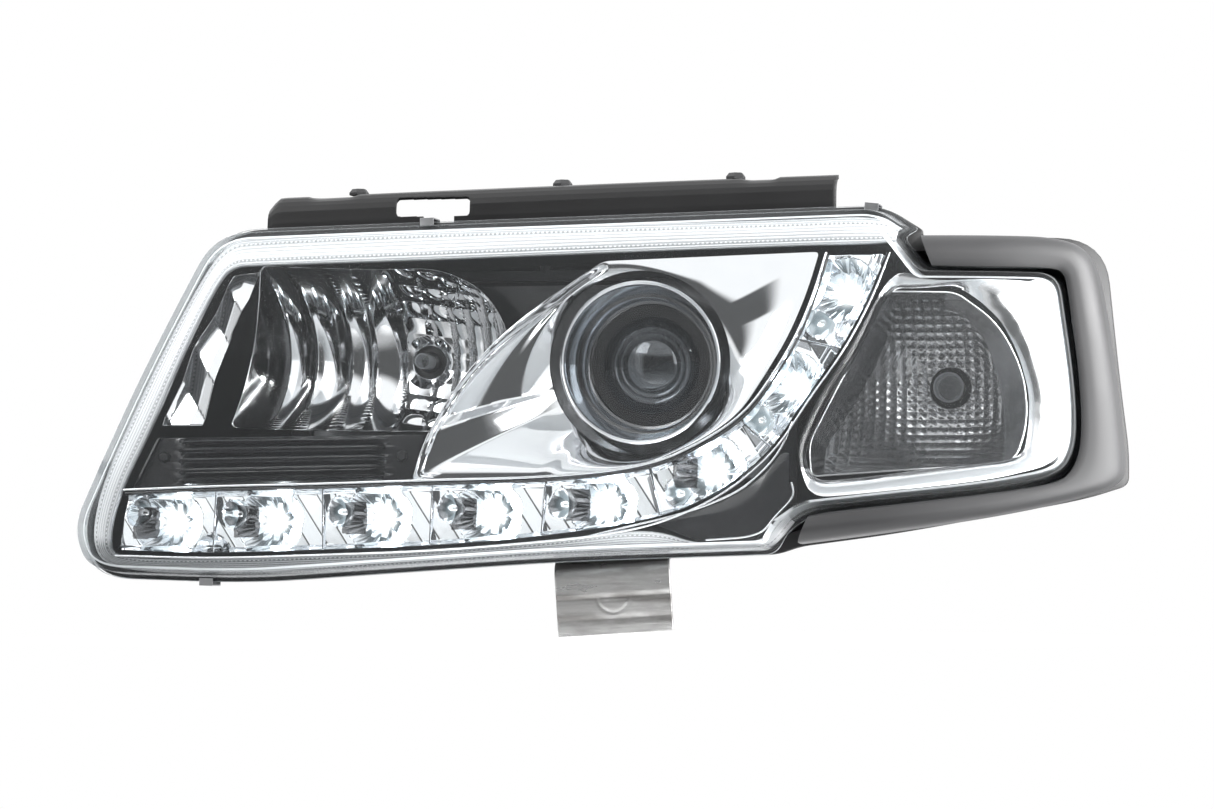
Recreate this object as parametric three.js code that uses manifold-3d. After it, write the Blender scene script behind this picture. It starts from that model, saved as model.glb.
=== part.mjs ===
// Left-hand car headlamp: projector low beam, reflector high beam, LED daytime strip, corner turn lamp.
// Millimetres. +X runs to the outer side of the car, +Y to the rear, +Z up.
// Outlines are drawn on the lamp's own face plane (x, z); `face` gives how far back its front skin lies.
import * as THREE from 'three';
import { mergeVertices } from 'three/addons/utils/BufferGeometryUtils.js';
import Module from 'manifold-3d';

const wasm = await Module();
wasm.setup();

// ---- driving dimensions -------------------------------------------------------------------------
const upperLug = { x: 10, y: 126, z: 116 };  // pad under the outer upper lug, the assembly's origin
const faceHalf = 300;                        // half width over which the front skin sweeps back
const sweepMain = 60;                        // sweep of the whole front
const sweepCorner = 80;                      // extra sweep round the car's corner
const cornerStart = 0.7;                     // share of the width at which that begins
const rake = 0.16;                           // lean to the rear per millimetre of height
const crown = 7;                             // bulge of the front skin over 100 mm of height
const skin = 2.6;                            // lens wall
const wall = 2.6;                            // housing wall
const lensDraft = 4;                         // how much smaller the lens front is than its flange
const flangeDepth = 22;                      // lens flange behind the front skin
const flangeThick = 4;
const rearMain = 184;                        // back wall of the housing
const rearCorner = 34;                       // how much further back it lies at the turn lamp
const mainBeam = { x: -127, z: 30, vertex: 136, focal: 32, hole: 9.5 };
const projector = { x: 15, z: 24.5, ring: 46.5, ringFront: 58, throat: 35, throatDepth: 88 };
const turn = { x: 176, z: 14, vertex: 182, focal: 22, hole: 12 };
const swivel = { x: -60, y: 146 };           // upright axis of the horizontal aim
const tilt = { y: 146, z: 22 };              // level axis of the vertical aim
const aimRod = { x: -206, z: -34 };          // horizontal adjuster
const levelRod = { x: -60, z: 70 };          // vertical adjuster and levelling motor

// ---- finishes -----------------------------------------------------------------------------------
const finish = (color, roughness, metalness) => ({ color, roughness, metalness });
const clear = finish(0xe8ecef, 0.08, 0.0);
const chrome = finish(0xd9dcde, 0.12, 1.0);
const darkChrome = finish(0x6d7073, 0.2, 1.0);
const blackPlastic = finish(0x1a1a1b, 0.5, 0.0);
const greyPlastic = finish(0x2c2d2f, 0.6, 0.0);
const rubber = finish(0x141414, 0.85, 0.0);
const steel = finish(0x8d9092, 0.32, 1.0);
const glass = finish(0xc9d2d8, 0.03, 0.0);
const board = finish(0xe6e6e2, 0.5, 0.0);

// ---- surfaces -----------------------------------------------------------------------------------
function face(x, z) {
  const across = (x + faceHalf) / (2 * faceHalf);
  const corner = Math.max(0, (across - cornerStart) / (1 - cornerStart));
  const bulge = Math.min(1.7, (z / 100) ** 2);
  return sweepMain * across ** 2 + sweepCorner * corner ** 2 + rake * (z + 90) + crown * bulge;
}

const behind = (depth) => (x, z) => face(x, z) + depth;

function rear(x) {
  const t = THREE.MathUtils.smoothstep(x, 125, 240);
  return rearMain + rearCorner * t;
}

const dish = (bowl, offset) => (x, z) =>
  bowl.vertex + offset - ((x - bowl.x) ** 2 + (z - bowl.z) ** 2) / (4 * bowl.focal);

// ---- outlines -----------------------------------------------------------------------------------
// A corner is [x, z, radius]; outlines run anticlockwise seen from the front of the car.
function moveIn(corners, inset) {
  return corners.map(([x, z, radius], i) => {
    const before = corners.at(i - 1);
    const after = corners[(i + 1) % corners.length];
    const a = new THREE.Vector2(x - before[0], z - before[1]).normalize();
    const b = new THREE.Vector2(after[0] - x, after[1] - z).normalize();
    const mitre = inset / Math.max(0.35, 1 + a.dot(b));
    return [x - (a.y + b.y) * mitre, z + (a.x + b.x) * mitre, Math.max(0.6, radius - inset * 0.5)];
  });
}

// Rounded polygon with long sides split up, the same number of points for every inset.
// Corners that hardly turn stay single points.
function outline(corners, inset = 0, pitch = 42, arcSteps = 2) {
  const flat = (list) => list.map(([x, z]) => new THREE.Vector2(x, z));
  const drawn = flat(corners);
  const moved = moveIn(corners, inset);
  const points = flat(moved);
  const reach = (i, other) => {
    const length = points[i].distanceTo(points[other]);
    return Math.min(moved[i][2], length * 0.45) / length;
  };
  return points.flatMap((corner, i) => {
    const before = (i + points.length - 1) % points.length;
    const after = (i + 1) % points.length;
    const into = drawn[i].clone().sub(drawn[before]);
    const out = drawn[after].clone().sub(drawn[i]);
    const start = corner.clone().lerp(points[before], reach(i, before));
    const end = corner.clone().lerp(points[after], reach(i, after));
    const turns = Math.abs(into.angleTo(out)) > 0.25;
    const arc = turns ? new THREE.QuadraticBezierCurve(start, corner, end).getPoints(arcSteps) : [corner];
    const sideEnd = turns ? end : corner;
    const nextStart = points[after].clone().lerp(corner, reach(after, i));
    const pieces = Math.round(out.length() / pitch);
    const side = Array.from({ length: Math.max(0, pieces - 1) }, (_, k) =>
      sideEnd.clone().lerp(nextStart, (k + 1) / pieces));
    return [...arc, ...side];
  });
}

const ring = (flat, depth) => flat.map((p) => new THREE.Vector3(p.x, depth(p.x, p.y), p.y));

function shrink(flat, centre, share) {
  return flat.map((p) => new THREE.Vector2(centre.x + (p.x - centre.x) * share,
    centre.z + (p.y - centre.z) * share));
}

// ---- solids -------------------------------------------------------------------------------------
function volume(geometry) {
  const p = geometry.attributes.position;
  const [a, b, c] = [new THREE.Vector3(), new THREE.Vector3(), new THREE.Vector3()];
  let total = 0;
  for (let i = 0; i < geometry.index.count; i += 3) {
    a.fromBufferAttribute(p, geometry.index.getX(i));
    b.fromBufferAttribute(p, geometry.index.getX(i + 1));
    c.fromBufferAttribute(p, geometry.index.getX(i + 2));
    total += a.dot(b.cross(c));
  }
  return total;
}

function closed(points, index) {
  const geometry = new THREE.BufferGeometry().setFromPoints(points);
  geometry.setIndex(index);
  if (volume(geometry) < 0) geometry.setIndex(index.toReversed());
  return geometry;
}

// Triangles between rings of equal length, each ring to the next. A ring of one point closes an end;
// with `round` the last ring joins the first one instead.
function sides(rings, round) {
  const index = [];
  const starts = [];
  rings.reduce((at, one) => { starts.push(at); return at + one.length; }, 0);
  const pairs = round ? rings.length : rings.length - 1;
  for (let k = 0; k < pairs; k += 1) {
    const next = (k + 1) % rings.length;
    const count = Math.max(rings[k].length, rings[next].length);
    for (let i = 0; i < count; i += 1) {
      const j = (i + 1) % count;
      const low = (n) => starts[k] + (rings[k].length === 1 ? 0 : n);
      const high = (n) => starts[next] + (rings[next].length === 1 ? 0 : n);
      if (rings[k].length > 1) index.push(low(i), low(j), high(j));
      if (rings[next].length > 1) index.push(low(i), high(j), high(i));
    }
  }
  return index;
}

const loft = (rings, round = false) => closed(rings.flat(), sides(rings, round));

// A strip swept through stations, each a closed flat section of any shape; both ends are capped.
// Seen along the strip, the first cap is wound against its section and the last cap with it.
function strip(sections) {
  const cap = (section, offset, against) => {
    const along = section[1].clone().sub(section[0]).normalize();
    const normal = section.reduce((sum, p, i) =>
      sum.add(p.clone().cross(section[(i + 1) % section.length])), new THREE.Vector3()).normalize();
    const up = normal.clone().cross(along);
    const flat = section.map((p) => new THREE.Vector2(p.dot(along), p.dot(up)));
    return THREE.ShapeUtils.triangulateShape(flat, []).flatMap(([a, b, c]) =>
      (against ? [a, c, b] : [a, b, c]).map((n) => n + offset));
  };
  const last = sections[0].length * (sections.length - 1);
  return closed(sections.flat(), [...sides(sections, false), ...cap(sections[0], 0, true),
    ...cap(sections.at(-1), last, false)]);
}

// A plate between two depth surfaces, filled with rings about its centre, with an optional hole.
function plate(flat, centre, front, back, { hole = 0, steps = 3 } = {}) {
  const rim = flat.map((p) => {
    const angle = Math.atan2(p.y - centre.z, p.x - centre.x);
    return new THREE.Vector2(centre.x + hole * Math.cos(angle), centre.z + hole * Math.sin(angle));
  });
  const shares = Array.from({ length: steps + 1 }, (_, k) => 1 - k / steps);
  const at = (share) => flat.map((p, i) => rim[i].clone().lerp(p, share));
  const fill = hole > 0 ? shares : shares.slice(0, -1);
  const frontRings = fill.map((share) => ring(at(share), (x, z) => front(x, z, share)));
  const backRings = fill.map((share) => ring(at(share), (x, z) => back(x, z, share))).reverse();
  if (hole > 0) return loft([...frontRings, ...backRings], true);
  const tip = (depth) => [new THREE.Vector3(centre.x, depth(centre.x, centre.z, 0), centre.z)];
  return loft([tip(back), ...backRings, ...frontRings, tip(front)]);
}

// A body of revolution about the Y axis from [radius, y] pairs, moved to (x, z).
function turned(profile, x, z, segments = 18) {
  const geometry = new THREE.LatheGeometry(profile.map(([r, y]) => new THREE.Vector2(r, y)), segments);
  geometry.deleteAttribute('normal');
  geometry.deleteAttribute('uv');
  const solid = mergeVertices(geometry, 1e-4);
  dropFlat(solid);
  if (volume(solid) < 0) solid.setIndex([...solid.index.array].reverse());
  return solid.translate(x, 0, z);
}

function dropFlat(geometry) {
  const kept = [];
  const all = geometry.index.array;
  for (let i = 0; i < all.length; i += 3) {
    const [a, b, c] = [all[i], all[i + 1], all[i + 2]];
    if (a !== b && b !== c && a !== c) kept.push(a, b, c);
  }
  geometry.setIndex(kept);
}

const disc = (radius, from, to, x, z, segments = 16) =>
  turned([[0, from], [radius, from], [radius, to], [0, to]], x, z, segments);

const tube = (outer, inner, from, to, x, z, segments = 22) =>
  turned([[inner, from], [outer, from], [outer, to], [inner, to], [inner, from]], x, z, segments);

function block(low, high) {
  const size = high.map((v, i) => v - low[i]);
  return new THREE.BoxGeometry(...size).translate(...low.map((v, i) => v + size[i] / 2));
}

function manifoldOf(geometry) {
  const bare = geometry.clone();
  bare.deleteAttribute('normal');
  bare.deleteAttribute('uv');
  const welded = mergeVertices(bare, 1e-4);
  const vertProperties = new Float32Array(welded.attributes.position.array);
  const triVerts = new Uint32Array(welded.index.array);
  return new wasm.Manifold(new wasm.Mesh({ numProp: 3, vertProperties, triVerts }));
}

function geometryOf(solid) {
  const { vertProperties, triVerts } = solid.getMesh();
  const geometry = new THREE.BufferGeometry();
  geometry.setAttribute('position', new THREE.BufferAttribute(vertProperties, 3));
  geometry.setIndex(new THREE.BufferAttribute(triVerts, 1));
  return geometry;
}

const join = (...parts) => geometryOf(parts.map(manifoldOf).reduce((a, b) => a.add(b)));
const cut = (part, ...tools) =>
  geometryOf(tools.map(manifoldOf).reduce((a, b) => a.subtract(b), manifoldOf(part)));

function wire(points, radius, steps) {
  const path = new THREE.CatmullRomCurve3(points.map((p) => new THREE.Vector3(...p)));
  const section = new THREE.Shape().absarc(0, 0, radius, 0, Math.PI * 2);
  return new THREE.ExtrudeGeometry(section, { extrudePath: path, steps, curveSegments: 3 });
}

// Pan-head screw along Y: the head's underside at `seat`, pointing to the rear (+1) or front (-1).
function screw(x, z, seat, { head = 4.2, shank = 1.7, length = 9, way = 1 } = {}) {
  const high = seat - way * head * 0.62;
  const low = seat + way * length;
  return turned([[0, high], [head * 0.7, high], [head, seat - way * head * 0.25], [head, seat],
    [shank, seat], [shank, low], [0, low]], x, z, 6);
}

const assembly = new THREE.Group();

function add(name, geometry, look, group = assembly) {
  const mesh = new THREE.Mesh(geometry, new THREE.MeshStandardMaterial(look));
  mesh.name = name;
  group.add(mesh);
}

// ---- shared outlines ----------------------------------------------------------------------------
// The lens: a long main window, a small hook at its top, and the turn window at the corner.
const lensCorners = [
  [-296, -97, 22], [-205, -100, 30], [-27, -88, 40], [93, -84, 6], [100, -71, 5], [113, -62, 10],
  [210, -51, 30], [250, -42, 16], [259, -22, 16], [258, 12, 30], [248, 80, 14], [173, 79, 7],
  [160, 96, 4], [168, 101, 3], [148, 114.5, 12], [-12, 109.5, 60], [-232, 104, 22], [-269, 22, 30],
  [-307, -68, 16],
];
// The housing's flange follows the lens and takes in the surround at the corner.
const housingCorners = [
  [-296, -97, 22], [-205, -100, 30], [-27, -88, 40], [93, -84, 6], [106, -79.5, 5], [161, -72, 30],
  [256, -53, 24], [281, -44, 5], [281, -24, 10], [276, 16, 30], [267, 99, 26], [212, 98, 20],
  [169, 97.5, 3], [169, 101, 2], [148, 114.5, 12], [-12, 109.5, 60], [-232, 104, 22], [-269, 22, 30],
  [-307, -68, 16],
];
const middle = { x: 0, z: 6 };

// ---- housing, lens and seal ---------------------------------------------------------------------
function lens() {
  const flat = (inset) => outline(lensCorners, inset);
  const flange = flangeDepth + flangeThick;
  const outerSteps = [0.36, 0.72];
  const innerWall = lensDraft + skin;
  return loft([
    [new THREE.Vector3(middle.x, face(middle.x, middle.z), middle.z)],
    ...outerSteps.map((share) => ring(shrink(flat(lensDraft + 1), middle, share), behind(0))),
    ring(flat(lensDraft + 1), behind(0)),
    ring(flat(lensDraft), behind(1)),
    ring(flat(2.5), behind(flangeDepth)),
    ring(flat(0), behind(flangeDepth)),
    ring(flat(0), behind(flange)),
    ring(flat(2.5 + skin), behind(flange)),
    ring(flat(innerWall), behind(skin + 1)),
    ring(flat(innerWall + 1), behind(skin)),
    ...outerSteps.toReversed().map((share) =>
      ring(shrink(flat(innerWall + 1), middle, share), behind(skin))),
    [new THREE.Vector3(middle.x, face(middle.x, middle.z) + skin, middle.z)],
  ]);
}

const flangeBack = flangeDepth + flangeThick + 2.2;   // front of the housing's flange

function housingShell() {
  const flat = (inset) => outline(housingCorners, inset);
  const back = (offset) => (x) => rear(x) - offset;
  const turnIn = (inset, offset) => ring(flat(inset), back(offset));
  const halfway = (inset, offset) => ring(shrink(flat(inset), middle, 0.5), back(offset));
  return loft([
    [new THREE.Vector3(middle.x, rearMain, middle.z)],
    halfway(30, 0),
    turnIn(30, 0),
    turnIn(23, 4),
    turnIn(17, 16),
    ring(flat(5), behind(flangeBack + 9)),
    ring(flat(5), behind(flangeBack + 5)),
    ring(flat(0), behind(flangeBack + 5)),
    ring(flat(0), behind(flangeBack)),
    ring(flat(9), behind(flangeBack)),
    ring(flat(9), behind(flangeBack + 6)),
    turnIn(17 + wall, 16 + wall * 0.5),
    turnIn(23 + wall * 0.7, 4 + wall * 0.8),
    turnIn(30, wall),
    halfway(30, wall),
    [new THREE.Vector3(middle.x, rearMain - wall, middle.z)],
  ]);
}

const highPort = { x: mainBeam.x, z: mainBeam.z, radius: 36 };
const lowPort = { x: projector.x, z: projector.z, radius: 42 };
const turnPort = { x: turn.x, z: turn.z, radius: 15 };
const socket = { x: -60, z: -34, width: 40, height: 22 };
const breather = { x: 78, z: 62 };

function collar(port, from, to) {
  return tube(port.radius + 3, port.radius, from, to, port.x, port.z);
}

const lugHole = 4.4;

function uprightHole(x, y, z) {
  return new THREE.CylinderGeometry(lugHole, lugHole, 12, 12).rotateX(Math.PI / 2).translate(x, y, z);
}

// Lug with an upright hole, standing on the housing's top wall.
function topLug(x, y, base) {
  const plateLow = upperLug.z;
  const body = join(block([x - 20, y - 8, plateLow], [x + 10, y + 24, plateLow + 4]),
    block([x - 20, y + 8, base], [x + 10, y + 12, plateLow + 1]));
  return { body, hole: uprightHole(x - 10, y, plateLow + 2) };
}

const lugSpacing = 190;
const lugs = [upperLug.x - lugSpacing, upperLug.x];
const sideLug = { x: 244, y: 232, z: 28 };

function housing() {
  const added = [
    collar(highPort, rearMain - 1, rearMain + 9), collar(lowPort, rearMain - 1, rearMain + 9),
    tube(turnPort.radius + 2.6, turnPort.radius, 196, 222, turn.x, turn.z, 18),
    block([sideLug.x - 12, 205, sideLug.z], [sideLug.x + 12, sideLug.y + 14, sideLug.z + 4]),
  ];
  const removed = [
    disc(highPort.radius, rearMain - 30, rearMain + 30, highPort.x, highPort.z, 22),
    disc(lowPort.radius, rearMain - 30, rearMain + 30, lowPort.x, lowPort.z, 22),
    disc(turnPort.radius, 180, 230, turn.x, turn.z, 18),
    block([socket.x - 18, rearMain - 10, socket.z - 9], [socket.x + 18, rearMain + 10, socket.z + 9]),
    disc(5, rearMain - 10, rearMain + 10, aimRod.x, aimRod.z, 10),
    disc(7, rearMain - 10, rearMain + 10, levelRod.x, levelRod.z, 10),
    disc(5, rearMain - 20, rearMain + 20, breather.x, breather.z, 8),
    uprightHole(sideLug.x, sideLug.y, sideLug.z + 2),
  ];
  lugs.forEach((x) => {
    const lug = topLug(x, upperLug.y, 84);
    added.push(lug.body);
    removed.push(lug.hole);
  });
  return cut(join(housingShell(), ...added), ...removed);
}

add('housing', housing(), blackPlastic);
add('lens', lens(), clear);

const sealPath = (inset, depth) => ring(outline(lensCorners, inset), behind(depth));
const sealFront = flangeDepth + flangeThick + 0.4;
add('lens_seal', loft([sealPath(1.2, sealFront), sealPath(1.2, sealFront + 1.4),
  sealPath(4.6, sealFront + 1.4), sealPath(4.6, sealFront)], true), rubber);

// ---- upper rail ---------------------------------------------------------------------------------
const rail = { from: -209, to: 120, leftTop: 124, rightTop: 134, stations: 10 };
const railScrews = [-160, -40, 60];
const railTop = (x) => THREE.MathUtils.mapLinear(x, rail.from, rail.to, rail.leftTop, rail.rightTop);
const railScrewY = (x) => face(x, 110) + 53;

function upperRail() {
  const sections = [];
  for (let k = 0; k <= rail.stations; k += 1) {
    const t = k / rail.stations;
    const x = THREE.MathUtils.lerp(rail.from, rail.to, t);
    const low = THREE.MathUtils.lerp(101.5, 111, t);
    const roll = k === 0 ? 6 : 0;
    const high = THREE.MathUtils.lerp(rail.leftTop, rail.rightTop, t) - roll;
    const y = face(x, low + 3);
    sections.push([
      [y + 34, low], [y + 35, (low + high) / 2], [y + 39, high - 3], [y + 44, high], [y + 62, high],
      [y + 62, high - 2.6], [y + 45, high - 2.6], [y + 41.5, high - 5], [y + 37.6, (low + high) / 2],
      [y + 36.4, low],
    ].map(([depth, z]) => new THREE.Vector3(x, depth, z)));
  }
  const reach = face(-110, 104) + 52;
  const slot = block([-133, 20, 111.5], [-90, reach, 123]);
  const clipGap = block([-117, 20, 96], [-99, reach, 112]);
  const holes = railScrews.map((x) => uprightHole(x, railScrewY(x), railTop(x)));
  return cut(strip(sections), slot, clipGap, ...holes);
}

add('upper_rail', upperRail(), blackPlastic);
railScrews.forEach((x, i) => {
  const upright = screw(0, 0, 0, { head: 6, length: 2.4, way: -1 }).rotateX(Math.PI / 2);
  add(`rail_screw_${i + 1}`, upright.translate(x, railScrewY(x), railTop(x) + 0.5), steel);
});

// ---- surround at the corner ---------------------------------------------------------------------
// Pairs of [inner x, inner z, outer x, outer z] round the C-shaped frame.
const surroundPairs = [
  [177, 80.8, 171, 96.5], [210, 81, 212, 97.5], [240, 81.8, 244, 97.8], [250, 79, 260, 91],
  [253, 64, 267, 72], [260, 16, 275.5, 16], [261.5, -24, 280, -27], [254, -41.5, 279.5, -43],
  [240, -46.5, 256, -52.5], [210, -53.2, 214, -62.5], [160, -59.5, 161, -71.2], [124, -63.6, 123, -76.4],
  [113, -65.5, 108, -78.2],
];

function pairCurves(pairs, round = false) {
  const line = (i, j) => new THREE.CatmullRomCurve3(
    pairs.map((p) => new THREE.Vector3(p[i], 0, p[j])), round, 'centripetal');
  return [line(0, 1), line(2, 3)];
}

// Sections across a band: `profile` is [share from inner to outer edge, millimetres sideways, depth].
function bandSections(pairs, profile, count, { round = false, depth = face } = {}) {
  const [inner, outer] = pairCurves(pairs, round);
  const last = round ? count - 1 : count;
  return Array.from({ length: last + 1 }, (_, k) => {
    const a = inner.getPoint(k / count);
    const b = outer.getPoint(k / count);
    const width = Math.hypot(b.x - a.x, b.z - a.z);
    return profile.map(([share, aside, deep]) => {
      const p = a.clone().lerp(b, share + aside / width);
      p.y = depth(p.x, p.z) + deep;
      return p;
    });
  });
}

add('outer_surround', strip(bandSections(surroundPairs, [
  [0, 0, 22], [0, -3.2, 2.5], [0, -1, 0.2], [0.35, 0, -1.5], [0.85, 0, 1.5], [1, -0.6, 8], [1, 0, 25],
  [1, -3, 25], [1, -3.4, 9], [0, 3, 3.5], [0, 2.6, 22],
], 24)), blackPlastic);

// ---- daytime running strip ----------------------------------------------------------------------
// Pairs of [inner x, inner z, outer x, outer z]; the inner edge faces the projector.
const stripPairs = [
  [-276, -49, -281, -82], [-223, -47, -224, -84], [-161, -46, -160, -82], [-98, -44, -99, -80],
  [-34, -43, -36, -75], [24, -37, 31, -65], [56, -22, 66, -49], [77, -7, 93, -26], [90, 14, 110, 2],
  [103, 37, 130, 31], [112, 62, 144, 60], [119, 85, 153, 86],
];
const ledPlaces = [0.045, 0.136, 0.227, 0.318, 0.409, 0.535, 0.735, 0.92];
const ledDepth = 33;

function stripPoint(t, share) {
  const [inner, outer] = pairCurves(stripPairs);
  return inner.getPoint(t).lerp(outer.getPoint(t), share);
}

const led = (x, y, z) => turned([[0, -3.4], [1.8, -3], [2.9, -1.6], [3.1, 0], [3.1, 3.2], [0, 3.2]], 0, 0, 6)
  .translate(x, y, z);

function stripReflector() {
  const body = strip(bandSections(stripPairs, [
    [0, 1, 12], [0, 3, 14], [0.3, 0, ledDepth], [0.7, 0, ledDepth], [1, -3, 14], [1, -1, 12],
    [1, -1, 15], [1, -2.5, 17], [0.72, 0, ledDepth + 1.8], [0.28, 0, ledDepth + 1.8], [0, 2.5, 17],
    [0, 1, 15],
  ], 26));
  const holes = ledPlaces.map((t) => {
    const p = stripPoint(t, 0.5);
    return disc(3.9, face(p.x, p.z) + ledDepth - 5, face(p.x, p.z) + ledDepth + 8, p.x, p.z, 8);
  });
  return cut(body, ...holes);
}

add('drl_reflector', stripReflector(), chrome);
add('drl_board', strip(bandSections(stripPairs, [
  [0.34, 0, ledDepth + 4.4], [0.66, 0, ledDepth + 4.4], [0.66, 0, ledDepth + 6], [0.34, 0, ledDepth + 6],
], 26)), board);
ledPlaces.forEach((t, i) => {
  const p = stripPoint(t, 0.5);
  add(`drl_led_${i + 1}`, led(p.x, face(p.x, p.z) + ledDepth + 0.3, p.z), board);
});

// ---- bezels behind the lens ---------------------------------------------------------------------
// Chrome funnel round the projector; its left edge is a long arc, its lower edge follows the strip.
const bezelHole = { x: 12, z: 24.5, radius: 54 };
const bezelCorners = [
  [-109, -42, 3], [-36, -40.5, 20], [-3, -38.5, 20], [22, -34, 10], [54, -19.5, 14], [74, -5, 12],
  [87, 16, 20], [99.5, 38, 20], [109, 63, 20], [115, 86.5, 3], [-6, 82, 4], [-43, 56, 18], [-66, 36, 18],
  [-82, 17, 18], [-95, -4, 16], [-104, -23, 16],
];

function mainBezel() {
  const flat = outline(bezelCorners, 0, 30, 1);
  const fall = (offset) => (x, z, share) => {
    const hole = face(bezelHole.x, bezelHole.z) + 25 + offset;
    const edge = face(x, z) + 12 + offset;
    return THREE.MathUtils.lerp(hole, edge, Math.sin(share * Math.PI / 2));
  };
  return plate(flat, bezelHole, fall(0), fall(2), { hole: bezelHole.radius, steps: 3 });
}

add('projector_bezel', mainBezel(), chrome);

const shelfCorners = [[-110, -42, 2], [-106, -17, 2], [-252, -14, 2], [-262, -18, 3], [-276, -46, 3]];
const shelfCentre = { x: -190, z: -30 };
const shelfScrews = [-258, -119];

function shelf() {
  const base = plate(outline(shelfCorners, 0, 60, 1), shelfCentre, behind(26),
    behind(29), { steps: 1 });
  const ribs = [-37, -31, -25].map((z) => {
    const y = face(-190, z) + 20;
    return block([-243, y, z - 0.9], [-134, y + 12, z + 0.9]);
  });
  const holes = shelfScrews.map((x) => disc(2.1, 0, 90, x, -28, 10));
  return cut(join(base, ...ribs), ...holes);
}

add('shelf_panel', shelf(), blackPlastic);
shelfScrews.forEach((x, i) => {
  add(`shelf_screw_${i + 1}`, screw(x, -28, face(x, -28) + 25.6, { head: 3.4, length: 8 }), steel);
});

const sideCorners = [
  [-236.5, -8, 2], [-219.5, 45, 8], [-209, 79, 2], [-221, 77, 3], [-240, 37, 10], [-257, -8, 2],
];
add('side_reflector', plate(outline(sideCorners, 0, 30, 1), { x: -229, z: 30 }, behind(22),
  behind(24.5), { steps: 1 }), chrome);

const fillerCorners = [
  [27, -67, 3], [68, -52, 8], [84, -42, 8], [96, -28, 6], [101.5, -27, 2], [101.5, -44, 4],
  [104.5, -53, 4], [93, -64, 4], [85, -75.5, 3], [54, -77.5, 5],
];
add('lower_filler', plate(outline(fillerCorners, 0, 30, 1), { x: 84, z: -60 }, behind(14), behind(17),
  { steps: 1 }), blackPlastic);

// ---- turn lamp ----------------------------------------------------------------------------------
// Pairs of [inner x, inner z, outer x, outer z] round the lamp's chrome frame.
const turnPairs = [
  [153, 66, 156, 77], [170, 66, 178, 70], [190, 68, 205, 72], [203, 59, 239, 71], [214, 48, 243, 58],
  [223, 30, 246, 32], [229, 8, 248.5, 6], [229, -12, 249.5, -14], [226, -30, 244, -33],
  [185, -35, 208, -42.5], [140, -41, 140, -50.5], [113, -43, 113, -52.5], [109, -26, 105, -25],
  [121, 2, 117, 3.5], [138, 30, 134, 31.5],
];
const turnProfile = [[0, 0, 20], [0.3, 0, 15], [1, 0, 12], [1, 0, 14.5], [0.35, 0, 17.5], [0.2, 0, 22]];
add('turn_bezel', loft(bandSections(turnPairs, turnProfile, 28, { round: true }), true), chrome);

const turnCorners = [
  [112, -41, 4], [222, -33, 10], [229, -8, 16], [226, 20, 20], [212, 48, 16], [189, 65, 6], [150, 65, 6],
  [136, 32, 14], [110, -22, 8],
];
add('turn_reflector', plate(outline(turnCorners, 1, 30, 1), turn, dish(turn, 0), dish(turn, 2.4),
  { hole: turn.hole, steps: 2 }), chrome);

// ---- lower bracket ------------------------------------------------------------------------------
// Bent sheet: a leg under the housing and an upright tab.
const bracket = { x: -1, halfWidth: 33, z: -87, foot: -128.5, lean: -0.066 };
const bracketScrews = [-18, 18];

function lowerBracket() {
  const front = face(0, -90) + flangeBack + 6;
  const sheet = [
    [36, 4], [5, 0.6], [1.4, -2.5], [0, -9], [0, bracket.foot - bracket.z], [2.4, bracket.foot - bracket.z],
    [2.4, -9.4], [3.6, -4.2], [6, -2], [36, 1.6],
  ];
  const section = (x) => sheet.map(([y, z]) => new THREE.Vector3(x, y, z));
  const holes = bracketScrews.map((x) => uprightHole(x, 22, 1));
  return cut(strip([section(-bracket.halfWidth), section(bracket.halfWidth)]), ...holes)
    .rotateY(bracket.lean).translate(bracket.x, front, bracket.z);
}

add('lower_bracket', lowerBracket(), steel);
bracketScrews.forEach((x, i) => {
  const upright = screw(0, 0, 0, { head: 6.5, length: 2.2 }).rotateX(Math.PI / 2).translate(x, 22, -1.2);
  const front = face(0, -90) + flangeBack + 6;
  upright.rotateY(bracket.lean).translate(bracket.x, front, bracket.z);
  add(`bracket_screw_${i + 1}`, upright, steel);
});

// ---- lens clips ---------------------------------------------------------------------------------
// Spring-steel C clips that clamp the lens flange to the housing flange.
function lensClip(x, z) {
  const flat = outline(housingCorners);
  const sides = flat.map((p, i) => ({ from: p, to: flat[(i + 1) % flat.length] }));
  const centreOf = ({ from, to }) => from.clone().add(to).multiplyScalar(0.5);
  const wanted = new THREE.Vector2(x, z);
  sides.sort((a, b) => centreOf(a).distanceTo(wanted) - centreOf(b).distanceTo(wanted));
  const spot = centreOf(sides[0]);
  const along = sides[0].to.clone().sub(sides[0].from);
  const outward = Math.atan2(-along.x, along.y);
  const front = flangeDepth - 2.4;
  const back = flangeBack + 7;
  const shape = new THREE.Shape([[-2, front], [2.3, front], [2.3, back], [-3, back], [-3, back - 0.9],
    [1.4, back - 0.9], [1.4, front + 0.9], [-2, front + 0.9]].map((p) => new THREE.Vector2(...p)));
  return new THREE.ExtrudeGeometry(shape, { depth: 8, bevelEnabled: false }).translate(0, 0, -4)
    .rotateY(-outward).translate(spot.x, face(spot.x, spot.y), spot.y);
}

const clipPlaces = [[-220, -100], [-289, -29], [-108, 107], [136, 114]];
clipPlaces.forEach(([x, z], i) => add(`lens_clip_${i + 1}`, lensClip(x, z), steel));

// ---- aiming frame and optic carrier -------------------------------------------------------------
// The frame swings about an upright axis; the carrier tilts inside it and holds both lamps.
const frameFront = 145;
const frameSpan = { left: -215, right: 90, low: -54, high: 84 };
const frameBar = 11;
const frameTop = 6;
const carrierGap = 4;

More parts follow.
